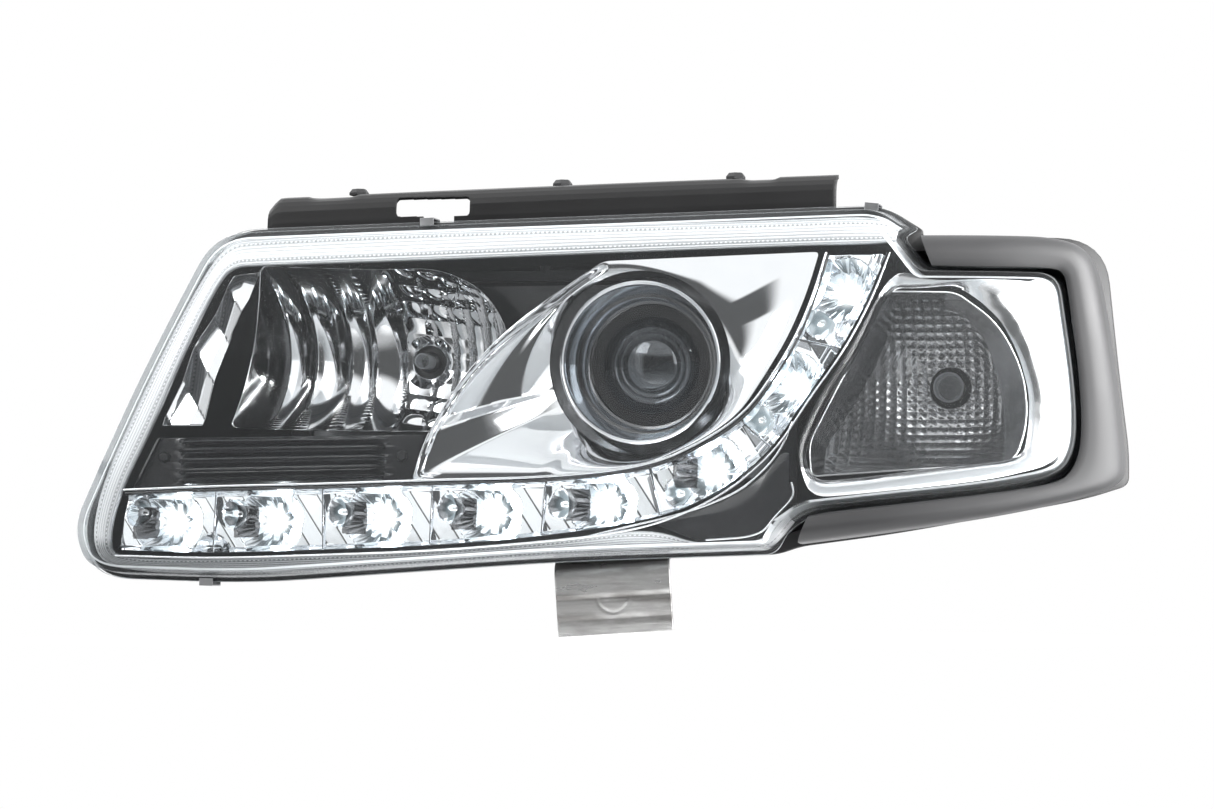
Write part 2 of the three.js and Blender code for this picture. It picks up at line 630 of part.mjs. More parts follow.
function aimFrame() {
  const { left, right, low, high } = frameSpan;
  const outer = block([left, frameFront, low], [right, frameFront + 6, high]);
  const opening = block([left + frameBar, 100, low + frameBar], [right - frameBar, 200, high - frameTop]);
  const pin = (z) => new THREE.CylinderGeometry(3.5, 3.5, 4, 8).rotateX(Math.PI / 2)
    .translate(swivel.x, swivel.y + 2, z);
  return join(cut(outer, opening), pin(high + 1), pin(low - 1));
}

add('aim_frame', aimFrame(), greyPlastic);

const carrier = {
  left: frameSpan.left + frameBar + carrierGap, right: frameSpan.right - frameBar - carrierGap,
  low: frameSpan.low + frameBar + carrierGap, high: frameSpan.high - frameTop - 3,
};
const holderFlange = { radius: 52, front: 106, back: 110 };

function opticCarrier() {
  const flat = block([carrier.left, 142, carrier.low], [carrier.right, 145.6, carrier.high]);
  const bowlHole = disc(42, 100, 200, projector.x, projector.z, 20);
  const bulbHole = disc(23, 100, 200, mainBeam.x, mainBeam.z, 16);
  const posts = [90, 210, 330].flatMap((degrees) => {
    const angle = THREE.MathUtils.degToRad(degrees);
    const post = (lamp, radius, front) => disc(3.6, front, 143, lamp.x + radius * Math.cos(angle),
      lamp.z + radius * Math.sin(angle), 6);
    return [post(mainBeam, 40, 130), post(projector, 47, holderFlange.back + 0.4)];
  });
  const trunnion = (x) => new THREE.CylinderGeometry(3, 3, 3, 8).rotateZ(Math.PI / 2)
    .translate(x, tilt.y - 2, tilt.z);
  return join(cut(flat, bowlHole, bulbHole), ...posts, trunnion(carrier.left - 0.5),
    trunnion(carrier.right + 0.5));
}

add('optic_carrier', opticCarrier(), greyPlastic);

// ---- main-beam lamp -----------------------------------------------------------------------------
const mainCorners = [
  [-224, -12, 5], [-112, -12, 6], [-86, -4, 16], [-73, 16, 20], [-72, 46, 20], [-88, 72, 20],
  [-116, 85, 14], [-210, 84, 5],
];
add('high_beam_reflector', plate(outline(mainCorners, 0, 32, 2), mainBeam, dish(mainBeam, 0),
  dish(mainBeam, 2.4), { hole: mainBeam.hole, steps: 3 }), chrome);

// Capsule bulb: glass, metal base with its flange, and one rear terminal.
function bulb(x, z, seat) {
  return turned([[0, seat - 27], [3, seat - 26], [4.6, seat - 23], [4.6, seat - 6], [6.4, seat - 5],
    [6.4, seat], [11, seat], [11, seat + 1.6], [4, seat + 1.6], [4, seat + 12], [0, seat + 12]], x, z, 10);
}

// Hairpin spring that lies across the bulb's flange and hinges at its left end.
const hairpin = { reach: 15, half: 5.4, wire: 0.8 };

function springClip(x, z, seat) {
  const y = seat + 2.9;
  const { reach, half } = hairpin;
  return wire([[x - reach, y, z + half], [x, y, z + half], [x + reach - 4, y, z + half],
    [x + reach, y, z], [x + reach - 4, y, z - half], [x, y, z - half], [x - reach, y, z - half]],
  hairpin.wire, 12);
}

const mainSeat = mainBeam.vertex + 3;
const dipSeat = 163;
add('high_beam_bulb', bulb(mainBeam.x, mainBeam.z, mainSeat), glass);
add('high_beam_clip', springClip(mainBeam.x, mainBeam.z, mainSeat), steel);

// ---- projector ----------------------------------------------------------------------------------
const inProjector = (profile, segments = 22) => turned(profile, projector.x, projector.z, segments);
const { ring: shroudRadius, ringFront, throat, throatDepth } = projector;
add('projector_shroud', inProjector([
  [shroudRadius - 2.5, ringFront + 1.5], [shroudRadius - 1, ringFront], [shroudRadius, ringFront + 1.5],
  [shroudRadius, ringFront + 5], [throat + 2.4, throatDepth + 3], [throat, throatDepth + 3],
  [throat, throatDepth], [shroudRadius - 2.5, ringFront + 1.5],
], 30), chrome);
add('lens_holder', inProjector([
  [27.6, 91.6], [36.6, 91.6], [36.6, holderFlange.front], [holderFlange.radius, holderFlange.front],
  [holderFlange.radius, holderFlange.back], [27.6, holderFlange.back], [27.6, 91.6],
]), greyPlastic);
add('projector_lens', inProjector([
  [0, 81], [9, 82.2], [17, 85.6], [23, 90], [27.2, 95.5], [27.2, 98], [0, 98],
]), glass);
add('projector_bowl', inProjector([
  [34, 110.4], [37, 110.4], [37, 118], [34, 132], [27, 146], [16, 157], [14, 158.5], [14, 162.6],
  [8, 162.6], [8, 158], [14, 155.5], [24.5, 145], [31.5, 131], [34, 118], [34, 110.4],
]), darkChrome);

function cutoffShield() {
  const shape = new THREE.Shape().moveTo(-32, -1).lineTo(-4, -1).lineTo(4, 3).lineTo(32, 3)
    .absarc(0, 0, 32.5, 0, -Math.PI, true);
  return new THREE.ExtrudeGeometry(shape, { depth: 1.2, bevelEnabled: false, curveSegments: 10 })
    .rotateX(Math.PI / 2).translate(projector.x, 113.5, projector.z);
}

add('cutoff_shield', cutoffShield(), darkChrome);
add('low_beam_bulb', bulb(projector.x, projector.z, dipSeat), glass);
add('low_beam_clip', springClip(projector.x, projector.z, dipSeat), steel);

// ---- rear caps ----------------------------------------------------------------------------------
// Bayonet caps over the access ports, each with a rubber ring and a grip bar.
const collarEnd = rearMain + 9;

function rearCap(port) {
  const r = port.radius;
  const top = collarEnd + 13;
  const cup = turned([[0, top - 2.6], [r - 2, top - 2.6], [r - 2, collarEnd + 2.4],
    [r + 3.7, collarEnd + 2.4], [r + 3.7, rearMain + 1.6], [r + 6.2, rearMain + 1.6],
    [r + 6.2, collarEnd + 8], [r + 2, top], [0, top]], port.x, port.z, 24);
  const grip = block([port.x - r * 0.72, top - 1, port.z - 3.5], [port.x + r * 0.72, top + 9, port.z + 3.5]);
  return join(cup, grip);
}

Object.entries({ high_beam: highPort, low_beam: lowPort }).forEach(([name, port]) => {
  add(`${name}_cap`, rearCap(port), greyPlastic);
  add(`${name}_cap_seal`, tube(port.radius + 3, port.radius - 1, collarEnd + 0.4, collarEnd + 2, port.x,
    port.z), rubber);
});

// ---- turn bulb and its holder -------------------------------------------------------------------
const holderSeat = 222.5;
add('turn_bulb', turned([[0, 160], [5, 161.5], [8.6, 166], [9, 171], [7.6, 178], [7, 181], [7, 199.4],
  [0, 199.4]], turn.x, turn.z, 12), glass);
add('turn_bulb_holder', join(
  turned([[0, 200], [14.2, 200], [14.2, holderSeat], [20, holderSeat], [20, holderSeat + 4],
    [11, holderSeat + 4], [11, holderSeat + 7], [0, holderSeat + 7]], turn.x, turn.z, 14),
  block([turn.x - 14, holderSeat + 3, turn.z - 3.5], [turn.x + 14, holderSeat + 18, turn.z + 3.5]),
), greyPlastic);

// ---- vertical aim: levelling motor, push rod and hand knob --------------------------------------
const motor = { halfWidth: 21, halfHeight: 17, front: rearMain + 0.6, depth: 32 };
const motorBack = motor.front + motor.depth;
const level = (profile, segments = 14) => turned(profile, levelRod.x, levelRod.z, segments);

add('levelling_motor', cut(
  join(
    block([levelRod.x - motor.halfWidth, motor.front, levelRod.z - motor.halfHeight],
      [levelRod.x + motor.halfWidth, motorBack - 8, levelRod.z + motor.halfHeight]),
    level([[0, motorBack - 9], [15, motorBack - 9], [15, motorBack], [0, motorBack]], 24),
    block([levelRod.x - 30, motor.front + 4, levelRod.z - 8],
      [levelRod.x - 20, motor.front + 20, levelRod.z + 8]),
  ),
  level([[0, motor.front - 2], [3.6, motor.front - 2], [3.6, motor.front + 20], [0, motor.front + 20]], 14),
), greyPlastic);

// Ball-ended rod along Y; its ball stays just clear of the piece that it moves.
function pushRod(x, z, tip, end, shank) {
  return turned([[0, tip], [2.2, tip + 0.8], [3.4, tip + 2.8], [3.4, tip + 4], [shank, tip + 6.4],
    [shank, end], [0, end]], x, z, 8);
}

add('level_rod', pushRod(levelRod.x, levelRod.z, 147.2, motor.front + 12, 2.8), steel);
add('level_knob', level([[0, motorBack + 0.6], [8, motorBack + 0.6], [9.5, motorBack + 2],
  [9.5, motorBack + 9], [3, motorBack + 9], [3, motorBack + 7], [0, motorBack + 7]]), greyPlastic);

// ---- horizontal aim: adjuster rod and hand knob -------------------------------------------------
add('aim_rod', pushRod(aimRod.x, aimRod.z, frameFront + 7.2, rearMain + 13, 2.8), steel);
add('aim_knob', turned([[3.5, rearMain + 0.6], [12, rearMain + 0.6], [12, rearMain + 6],
  [8, rearMain + 9], [8, rearMain + 18], [3.5, rearMain + 18], [3.5, rearMain + 0.6]],
aimRod.x, aimRod.z, 14), greyPlastic);

// ---- connector and breather ---------------------------------------------------------------------
function connector() {
  const { x, z, width, height } = socket;
  const [w, h] = [width / 2, height / 2];
  const front = rearMain + 0.6;
  const shell = join(block([x - w, front, z - h], [x + w, front + 24, z + h]),
    block([x - w - 5, front, z - h - 5], [x + w + 5, front + 3, z + h + 5]));
  const cavity = block([x - w + 3, front + 5, z - h + 3], [x + w - 3, front + 30, z + h - 3]);
  const pins = [-12, -4, 4, 12].map((dx) =>
    block([x + dx - 1.2, front + 4, z - 2], [x + dx + 1.2, front + 11, z + 2]));
  return join(cut(shell, cavity), ...pins);
}

add('connector_socket', connector(), greyPlastic);
add('breather_cap', disc(9, rearMain + 0.6, rearMain + 9, breather.x, breather.z, 12), rubber);

assembly.position.set(-upperLug.x, -upperLug.y, -upperLug.z);
export default assembly;
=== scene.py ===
import bpy
import bmesh
import numpy as np
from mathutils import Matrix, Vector


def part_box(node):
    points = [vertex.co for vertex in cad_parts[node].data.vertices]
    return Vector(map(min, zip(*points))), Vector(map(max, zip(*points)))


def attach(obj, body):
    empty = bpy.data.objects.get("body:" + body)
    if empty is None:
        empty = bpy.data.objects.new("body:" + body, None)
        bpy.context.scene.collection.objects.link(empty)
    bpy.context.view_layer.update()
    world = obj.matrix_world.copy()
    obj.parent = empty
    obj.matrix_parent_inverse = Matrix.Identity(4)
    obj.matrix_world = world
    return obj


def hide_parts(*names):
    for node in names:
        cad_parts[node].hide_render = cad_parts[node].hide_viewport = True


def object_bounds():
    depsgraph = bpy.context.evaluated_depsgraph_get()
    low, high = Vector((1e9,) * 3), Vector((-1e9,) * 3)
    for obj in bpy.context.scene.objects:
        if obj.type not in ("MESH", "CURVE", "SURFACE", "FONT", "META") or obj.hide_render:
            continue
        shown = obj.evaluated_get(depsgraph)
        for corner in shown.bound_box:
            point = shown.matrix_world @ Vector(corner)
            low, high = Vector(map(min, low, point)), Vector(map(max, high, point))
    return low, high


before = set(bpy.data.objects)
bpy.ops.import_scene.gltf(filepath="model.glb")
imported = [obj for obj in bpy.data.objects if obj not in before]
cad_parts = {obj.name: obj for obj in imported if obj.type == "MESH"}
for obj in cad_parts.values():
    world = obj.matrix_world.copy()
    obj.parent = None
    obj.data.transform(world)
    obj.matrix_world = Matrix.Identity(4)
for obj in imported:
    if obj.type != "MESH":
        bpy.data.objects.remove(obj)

cad_box = [list(corner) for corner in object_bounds()]

# ---- Clear cover --------------------------------------------------------------------------------
# One moulding of hard-coated clear polycarbonate with its side walls and flange, glued and clipped
# to the housing. Millimetres here are the lamp's drawing ones, in which PAD is the frame's origin.
PAD = np.array([10.0, 126.0, 116.0])
SKIN = 2.6
FLANGE_DEPTH = 22.0
COVER_CORNERS = [
    (-296, -97, 22), (-205, -100, 30), (-27, -88, 40), (93, -84, 6), (100, -71, 5), (113, -62, 10),
    (210, -51, 30), (250, -42, 16), (259, -22, 16), (258, 12, 30), (248, 80, 14), (173, 79, 7),
    (160, 96, 4), (168, 101, 3), (148, 114.5, 12), (-12, 109.5, 60), (-232, 104, 22), (-269, 22, 30),
    (-307, -68, 16)]
MIDDLE = np.array([0.0, 6.0])


def face(x, z):
    """Depth of the front skin: a parabola across the lamp, a steeper one added at the car's corner,
    a lean to the rear with height, and a bulge with the square of the height."""
    across = (x + 300) / 600
    corner = np.maximum(0, (across - 0.7) / 0.3)
    return 60 * across**2 + 80 * corner**2 + 0.16 * (z + 90) + 7 * np.minimum(1.7, (z / 100)**2)


def unit(vectors):
    return vectors / np.maximum(1e-9, np.linalg.norm(vectors, axis=-1, keepdims=True))


def outline(corners, inset, arc=9, side=14):
    """Rounded outline: every side moves in by the inset, and each corner becomes a parabola whose
    ends lie one radius from it. The first point is repeated at the end."""
    corner = np.array([c[:2] for c in corners], float)
    radius = np.maximum(0.6, np.array([c[2] for c in corners], float) - inset * 0.5)[:, None]
    leaving = unit(np.roll(corner, -1, 0) - corner)
    arriving = np.roll(leaving, 1, 0)
    both = leaving + arriving
    mitre = inset / np.maximum(0.35, 1 + (leaving * arriving).sum(1, keepdims=True))
    moved = corner + np.stack([-both[:, 1], both[:, 0]], 1) * mitre
    gap = np.linalg.norm(np.roll(moved, -1, 0) - moved, axis=1, keepdims=True)
    start = moved - arriving * np.minimum(radius, np.roll(gap, 1, 0) * 0.45)
    end = moved + leaving * np.minimum(radius, gap * 0.45)
    t = np.linspace(0, 1, arc)[None, :, None]
    bend = start[:, None] * (1 - t)**2 + moved[:, None] * 2 * t * (1 - t) + end[:, None] * t**2
    s = np.linspace(0, 1, side + 2)[None, 1:-1, None]
    straight = end[:, None] * (1 - s) + np.roll(start, -1, 0)[:, None] * s
    flat = np.concatenate([bend, straight], 1).reshape(-1, 2)
    return np.concatenate([flat, flat[:1]])


def on_face(flat, depth):
    """Points of a flat outline (x, z) laid on the front skin, depth behind it."""
    return np.stack([flat[..., 0], face(flat[..., 0], flat[..., 1]) + depth, flat[..., 1]], -1)


def scaled(flat, share, centre=MIDDLE):
    return centre + (flat - centre) * share


def skin(name, grid, body="lamp_body", replaces=(), finish=None, crease=35, thick=0.0,
         towards=None, uv=None, marks=None, keep=None):
    """Mesh from a grid of points, rows by columns, in drawing millimetres. Doubles are merged, so
    repeated columns and collapsed rows close. towards is the way an open skin faces."""
    rows, cols = grid.shape[:2]
    mesh = bpy.data.meshes.new(name)
    n = np.arange(rows * cols).reshape(rows, cols)
    quads = np.stack([n[:-1, :-1], n[:-1, 1:], n[1:, 1:], n[1:, :-1]], -1)
    quads = quads.reshape(-1, 4) if keep is None else quads[keep]
    mesh.from_pydata(((grid - PAD) / 1000).reshape(-1, 3), [], quads.tolist())
    if uv is not None:
        layer = mesh.uv_layers.new(name="skin")
        corner = np.empty(len(mesh.loops), int)
        mesh.loops.foreach_get("vertex_index", corner)
        layer.data.foreach_set("uv", uv.reshape(-1, 2)[corner].ravel())
    if marks is not None:
        layer = mesh.attributes.new("mark", "FLOAT", "POINT")
        layer.data.foreach_set("value", marks.ravel())
    work = bmesh.new()
    work.from_mesh(mesh)
    bmesh.ops.delete(work, geom=[v for v in work.verts if not v.link_faces], context="VERTS")
    bmesh.ops.remove_doubles(work, verts=work.verts, dist=2e-6)
    bmesh.ops.dissolve_degenerate(work, edges=work.edges, dist=1e-7)
    if towards is None:
        bmesh.ops.recalc_face_normals(work, faces=work.faces)
    work.to_mesh(mesh)
    work.free()
    if towards is not None:
        way = np.empty(len(mesh.polygons) * 3)
        mesh.polygons.foreach_get("normal", way)
        if (way.reshape(-1, 3) @ np.array(towards, float)).sum() < 0:
            mesh.flip_normals()
    mesh.shade_smooth()
    mesh.set_sharp_from_angle(angle=np.radians(crease))
    piece = bpy.data.objects.new(name, mesh)
    bpy.context.scene.collection.objects.link(piece)
    if thick:
        wall = piece.modifiers.new("wall", "SOLIDIFY")
        wall.thickness = thick / 1000
        wall.offset = -1
    if finish is not None:
        mesh.materials.append(finish)
    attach(piece, body)
    if replaces:
        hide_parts(*replaces)
    return piece


class Wire:
    """A number on its way through a material; arithmetic on it adds Math nodes."""

    def __init__(self, recipe, socket):
        self.recipe, self.socket = recipe, socket

    def maths(self, operation, *others):
        return self.recipe.node("ShaderNodeMath", {"operation": operation}, dict(enumerate((self,) + others)))

    def __add__(self, other): return self.maths("ADD", other)
    def __radd__(self, other): return self.maths("ADD", other)
    def __mul__(self, other): return self.maths("MULTIPLY", other)
    def __rmul__(self, other): return self.maths("MULTIPLY", other)
    def __sub__(self, other): return self.maths("SUBTRACT", other)
    def __rsub__(self, other): return self.recipe.wire(other).maths("SUBTRACT", self)
    def __truediv__(self, other): return self.maths("DIVIDE", other)
    def __pow__(self, other): return self.maths("POWER", other)

    def ramp(self, low, high, to_low=0.0, to_high=1.0):
        """Smooth step from to_low to to_high as the number goes from low to high."""
        return self.recipe.node("ShaderNodeMapRange", {"interpolation_type": "SMOOTHSTEP"},
                                {0: self, 1: low, 2: high, 3: to_low, 4: to_high})


class Recipe:
    """A node material, or the world's, under construction."""

    def __init__(self, name, owner=None):
        self.owner = owner or bpy.data.materials.new(name)
        self.owner.use_nodes = True
        self.tree = self.owner.node_tree
        self.tree.nodes.clear()

    def node(self, kind, settings=None, inputs=None, out=0):
        made = self.tree.nodes.new(kind)
        for key, value in (settings or {}).items():
            setattr(made, key, value)
        for key, value in (inputs or {}).items():
            if isinstance(value, Wire):
                self.tree.links.new(value.socket, made.inputs[key])
            else:
                made.inputs[key].default_value = value
        return Wire(self, made.outputs[out])

    def wire(self, number):
        return self.node("ShaderNodeMath", {"operation": "ADD"}, {0: number, 1: 0.0})

    def place(self):
        return self.node("ShaderNodeTexCoord", out="Object")

    def axes(self, vector=None):
        split = self.node("ShaderNodeSeparateXYZ", inputs={0: vector or self.place()})
        return [Wire(self, split.socket.node.outputs[i]) for i in range(3)]

    def mixed(self, share, one, two):
        """Colour between one and two."""
        return self.node("ShaderNodeMix", {"data_type": "RGBA"}, {0: share, 6: one, 7: two}, out=2)

    def noise(self, scale, detail=3.0, stretch=(1, 1, 1)):
        spot = self.node("ShaderNodeMapping", inputs={0: self.place(), 3: stretch})
        return self.node("ShaderNodeTexNoise", inputs={"Vector": spot, "Scale": scale, "Detail": detail},
                         out="Fac")

    def bump(self, height, strength, distance):
        return self.node("ShaderNodeBump", inputs={"Strength": strength, "Distance": distance,
                                                   "Height": height})

    def surface(self, **sockets):
        names = {key.replace("_", " "): value for key, value in sockets.items()}
        return self.node("ShaderNodeBsdfPrincipled", inputs=names)

    def done(self, shader, target="ShaderNodeOutputMaterial"):
        output = self.tree.nodes.new(target)
        self.tree.links.new(shader.socket, output.inputs[0])
        return self.owner


def clear_finish():
    """Clear plastic: seen through, with a sheen that grows towards grazing angles."""
    recipe = Recipe("clear_polycarbonate")
    ripple = recipe.bump(recipe.noise(9.0, 1.0), 0.05, 0.001)
    sheen = recipe.surface(Base_Color=(0.9, 0.93, 0.95, 1), Metallic=0.0, Roughness=0.04, Normal=ripple)
    through = recipe.node("ShaderNodeBsdfTransparent", inputs={0: (0.985, 0.99, 0.99, 1)})
    edge = recipe.node("ShaderNodeFresnel", inputs={"IOR": 1.45})
    share = edge.ramp(0.02, 0.9, 0.015, 0.75)
    return recipe.done(recipe.node("ShaderNodeMixShader", inputs={0: share, 1: through, 2: sheen}))


clear = clear_finish()


def cover_rings():
    """Rings of the cover's outline from its middle over the front, down the wall to the flange and
    back up inside: each ring is the outline moved in or scaled, laid a depth behind the front skin."""
    front = [on_face(scaled(outline(COVER_CORNERS, 5), s), 0) for s in np.linspace(0, 1, 12)]
    inner_flat = outline(COVER_CORNERS, 5.2 + SKIN)
    inside = [on_face(scaled(inner_flat, s), SKIN) for s in np.linspace(1, 0, 12)]
    wall = [(4.4, 0.35), (4, 1.2), (2.5, FLANGE_DEPTH - 0.6), (2.0, FLANGE_DEPTH), (0.3, FLANGE_DEPTH),
            (0, FLANGE_DEPTH + 0.4), (0, 25.6), (0.4, 26), (2.5 + SKIN, 26), (4 + SKIN, SKIN + 1.4)]
    return np.array(front + [on_face(outline(COVER_CORNERS, inset), depth) for inset, depth in wall] + inside)


skin("cover", cover_rings(), replaces=["lens"], finish=clear)


# ---- Bright border inside the cover -------------------------------------------------------------
# Prism-ribbed band of the cover's edge, painted pale for the light it pipes, with painted shade
# in its grooves, along the lamp's foot and at its outer edge: fine ribs run along it, with two
# knurled lines. It fills the gap between the cover's wall and the bezels.
def corners_cut(line):
    """Chaikin's rule: each side keeps the points a quarter in from its ends; the line's ends stay."""
    near, far = line[:-1] * 0.75 + line[1:] * 0.25, line[:-1] * 0.25 + line[1:] * 0.75
    return np.concatenate([line[:1], np.stack([near, far], 1).reshape(-1, 2), line[-1:]])


def band(inner, outer, profile, count, smooth=0):
    """Carries a profile along two guide lines. A profile point is (share from the inner to the outer
    line, millimetres aside, depth behind the front skin); rows are profile points."""
    a, b = np.array(inner, float), np.array(outer, float)
    for _ in range(smooth):
        a, b = corners_cut(a), corners_cut(b)
    way = np.concatenate([[0], np.cumsum(np.linalg.norm(np.diff((a + b) / 2, axis=0), axis=1))])
    at = np.linspace(0, way[-1], count)
    a = np.stack([np.interp(at, way, a[:, k]) for k in (0, 1)], 1)
    b = np.stack([np.interp(at, way, b[:, k]) for k in (0, 1)], 1)
    width = np.linalg.norm(b - a, axis=1, keepdims=True)
    rows = []
    for share, aside, deep in profile:
        flat = a + (b - a) * (share + aside / width)
        rows.append(on_face(flat, deep))
    uv = np.stack(np.broadcast_arrays(at[None, :] / 1000, np.linspace(0, 1, len(rows))[:, None]), -1)
    return np.array(rows), uv


def border_finish():
    """Pale ribbed plastic, the paleness painted light: fourteen fine ribs along the band with painted
    shade in their grooves, two knurled lines, painted shade all over along the lamp's foot, where
    less light is piped, and painted shade towards the band's outer edge."""
    recipe = Recipe("ribbed_border")
    u, v, _ = recipe.axes(recipe.node("ShaderNodeUVMap", {"uv_map": "skin"}))
    _, _, height = recipe.axes()
    ribs = (v * 2 * np.pi * 14).maths("SINE") * 0.5 + 0.5
    knurl = (u * 2 * np.pi / 0.0026).maths("SINE").ramp(-0.4, 0.4)
    lines = ((v - 0.38).maths("ABSOLUTE").ramp(0.014, 0.024, 1, 0)
             + (v - 0.72).maths("ABSOLUTE").ramp(0.014, 0.024, 1, 0))
    # painted shade: the rib grooves are made greyer
    painted_groove_shade = (1 - ribs).ramp(0.45, 1.0, 0, 0.4) * v.ramp(0.02, 0.1)
    # painted shade: greyer all over along the lamp's foot
    foot = height.ramp(-0.197, -0.188, 0.62, 0.0)
    # the last term is painted shade towards the band's outer edge
    shade = painted_groove_shade + lines * knurl * 0.55 + foot + v.ramp(0.86, 1.0, 0, 0.3)
    tone = recipe.mixed(shade, (0.66, 0.67, 0.68, 1), (0.09, 0.095, 0.1, 1))
    lift = recipe.bump(ribs + recipe.noise(400.0) * 0.2, 0.45, 0.0004)
    return recipe.done(recipe.surface(Base_Color=tone, Metallic=0.35, Roughness=0.25, Normal=lift))


bright_border = border_finish()
BORDER = [(100, -60, 104, -66), (92, -71, 94, -78.5), (86, -76.5, 88, -81), (54, -79, 54, -82.5),
          (26, -69, 22, -82.5), (-14, -74, -16, -84.5), (-36, -77, -38, -85.5), (-98, -81.5, -99, -90),
          (-162, -84, -163, -94), (-224, -86, -224, -95.5), (-278, -86, -284, -93), (-286, -78, -299, -80),
          (-279, -47, -294, -45), (-262, -12, -279, -9), (-244, 36, -261, 33), (-227, 75, -239, 80),
          (-219, 81, -226, 97), (-209, 81.5, -211, 99.5), (-105, 83.5, -106, 103), (-8, 86.5, -10, 104.5),
          (104, 90, 102, 106.5), (150, 91, 146, 108.5), (157, 93, 158, 101)]
BORDER_SECTION = [(0, 0, 15), (0, 0.3, 12.6), (0.05, 0, 12), (0.2, 0, 12), (0.4, 0, 12.6), (0.6, 0, 13.8),
                  (0.8, 0, 16), (0.95, 0, 19), (1, 0, 22)]
border_pairs = np.array(BORDER, float)
border_grid, border_uv = band(border_pairs[:, :2], border_pairs[:, 2:], BORDER_SECTION, 1600, 3)
skin("cover_border", border_grid, finish=bright_border, thick=0.5, towards=(0, -1, 0),
     uv=border_uv)


# ---- Rubber seal under the cover's flange -------------------------------------------------------
# Butyl cord laid in the housing's channel; the cover is pressed into it.
def rubber_finish():
    """Matt black rubber with a fine mottle."""
    recipe = Recipe("black_rubber")
    grain = recipe.noise(900.0)
    return recipe.done(recipe.surface(
        Base_Color=recipe.mixed(grain, (0.012, 0.012, 0.013, 1), (0.03, 0.03, 0.031, 1)),
        Roughness=grain.ramp(0.2, 0.8, 0.75, 0.9), Normal=recipe.bump(grain, 0.3, 0.0002)))


rubber = rubber_finish()


def dress(node, finish, bevel=0.0):
    """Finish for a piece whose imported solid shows: a weld and an optional rounding of its edges."""
    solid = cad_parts[node]
    solid.data.materials.clear()
    solid.data.materials.append(finish)
    weld = solid.modifiers.new("weld", "WELD")
    weld.merge_threshold = 1e-5
    if bevel:
        edge = solid.modifiers.new("edge", "BEVEL")
        edge.width = bevel / 1000
        edge.segments = 2
        edge.limit_method = "ANGLE"
        edge.angle_limit = np.radians(30)
        edge.harden_normals = False


dress("lens_seal", rubber)

# ---- Housing ------------------------------------------------------------------------------------
# Black glass-filled plastic tub, moulded in one, with a flange round its mouth, collars round the
# bulb ports, stiffening ribs on its back and three screw lugs.
HOUSING_CORNERS = COVER_CORNERS[:4] + [
    (106, -79.5, 5), (161, -72, 30), (256, -53, 24), (281, -44, 5), (281, -24, 10), (276, 16, 30),
    (267, 99, 26), (212, 98, 20), (169, 97.5, 3), (169, 101, 2)] + COVER_CORNERS[14:]
FLANGE_BACK = 28.2


def rear(x):
    """Depth of the back wall: flat behind the main lamps, further back behind the turn lamp."""
    t = np.clip((x - 125) / 115, 0, 1)
    return 184 + 34 * t * t * (3 - 2 * t)


def moulded(name, tone, rough, scale=2600.0, lift=0.25):
    """Moulded plastic: spark-eroded grain as bump and a slow drift of gloss and tone."""
    recipe = Recipe(name)
    grain = recipe.noise(scale, 2.0)
    drift = recipe.noise(14.0, 2.0)
    shade = recipe.mixed(drift, (tone, tone, tone * 1.04, 1), (tone * 1.8, tone * 1.8, tone * 1.85, 1))
    return recipe.done(recipe.surface(
        Base_Color=shade, Roughness=drift.ramp(0.3, 0.7, rough, rough + 0.14), Specular_IOR_Level=0.28,
        Normal=recipe.bump(grain, lift, 0.00015)))


housing_black = moulded("housing_plastic", 0.009, 0.42)
grey_plastic = moulded("grey_plastic", 0.045, 0.5)


def housing_shell():
    """Rings of the flange outline moved in and laid back, outside wall first, then the inside wall."""
    def ringed(inset, depth):
        flat = outline(HOUSING_CORNERS, inset)
        return on_face(flat, depth)

    def turned_in(inset, offset, share=1.0):
        flat = scaled(outline(HOUSING_CORNERS, inset), share)
        return np.stack([flat[:, 0], rear(flat[:, 0]) - offset, flat[:, 1]], 1)
    back = [turned_in(30, 0, s) for s in np.linspace(0, 1, 8)]
    outer = [turned_in(27, 0.8), turned_in(24, 3), turned_in(22, 6), turned_in(17.6, 14), turned_in(17, 16),
             ringed(5.4, 38.4), ringed(5, 37.2), ringed(5, 33.2), ringed(0.5, 33.2), ringed(0, 32.7),
             ringed(0, 28.7), ringed(0.5, FLANGE_BACK), ringed(9, FLANGE_BACK), ringed(9, 34.2)]
    inner = [turned_in(19.6, 17), turned_in(24.8, 6), turned_in(30, 2.6), turned_in(30, 2.6, 0.5)]
    inner.append(turned_in(30, 2.6, 0.0))
    return np.array(back + outer + inner)


skin("housing_shell", housing_shell(), replaces=["housing"], finish=housing_black)


def lathe(profile, x, z, steps=48):
    """Body of revolution: each profile point (radius, depth) makes a circle about the level axis
    through (x, z)."""
    radius, level = np.array(profile, float).T
    turn = np.linspace(0, 2 * np.pi, steps + 1)
    across, up = radius[:, None] * np.cos(turn), radius[:, None] * np.sin(turn)
    level = np.broadcast_to(level[:, None], across.shape)
    return np.stack([x + across, level, z + up], -1)


HIGH_BEAM, LOW_BEAM, TURN_LAMP = (-127.0, 30.0), (15.0, 24.5), (176.0, 14.0)
PORTS = {"high_port": (*HIGH_BEAM, 36, 183, 193), "low_port": (*LOW_BEAM, 42, 183, 193),
         "turn_port": (*TURN_LAMP, 15, 196, 222)}
for port, (x, z, bore, low, high) in PORTS.items():
    skin(port, lathe([(bore, low), (bore + 3, low), (bore + 3, high - 0.5), (bore + 2.5, high),
                      (bore + 0.5, high), (bore, high - 0.5), (bore, low)], x, z),
         finish=housing_black)


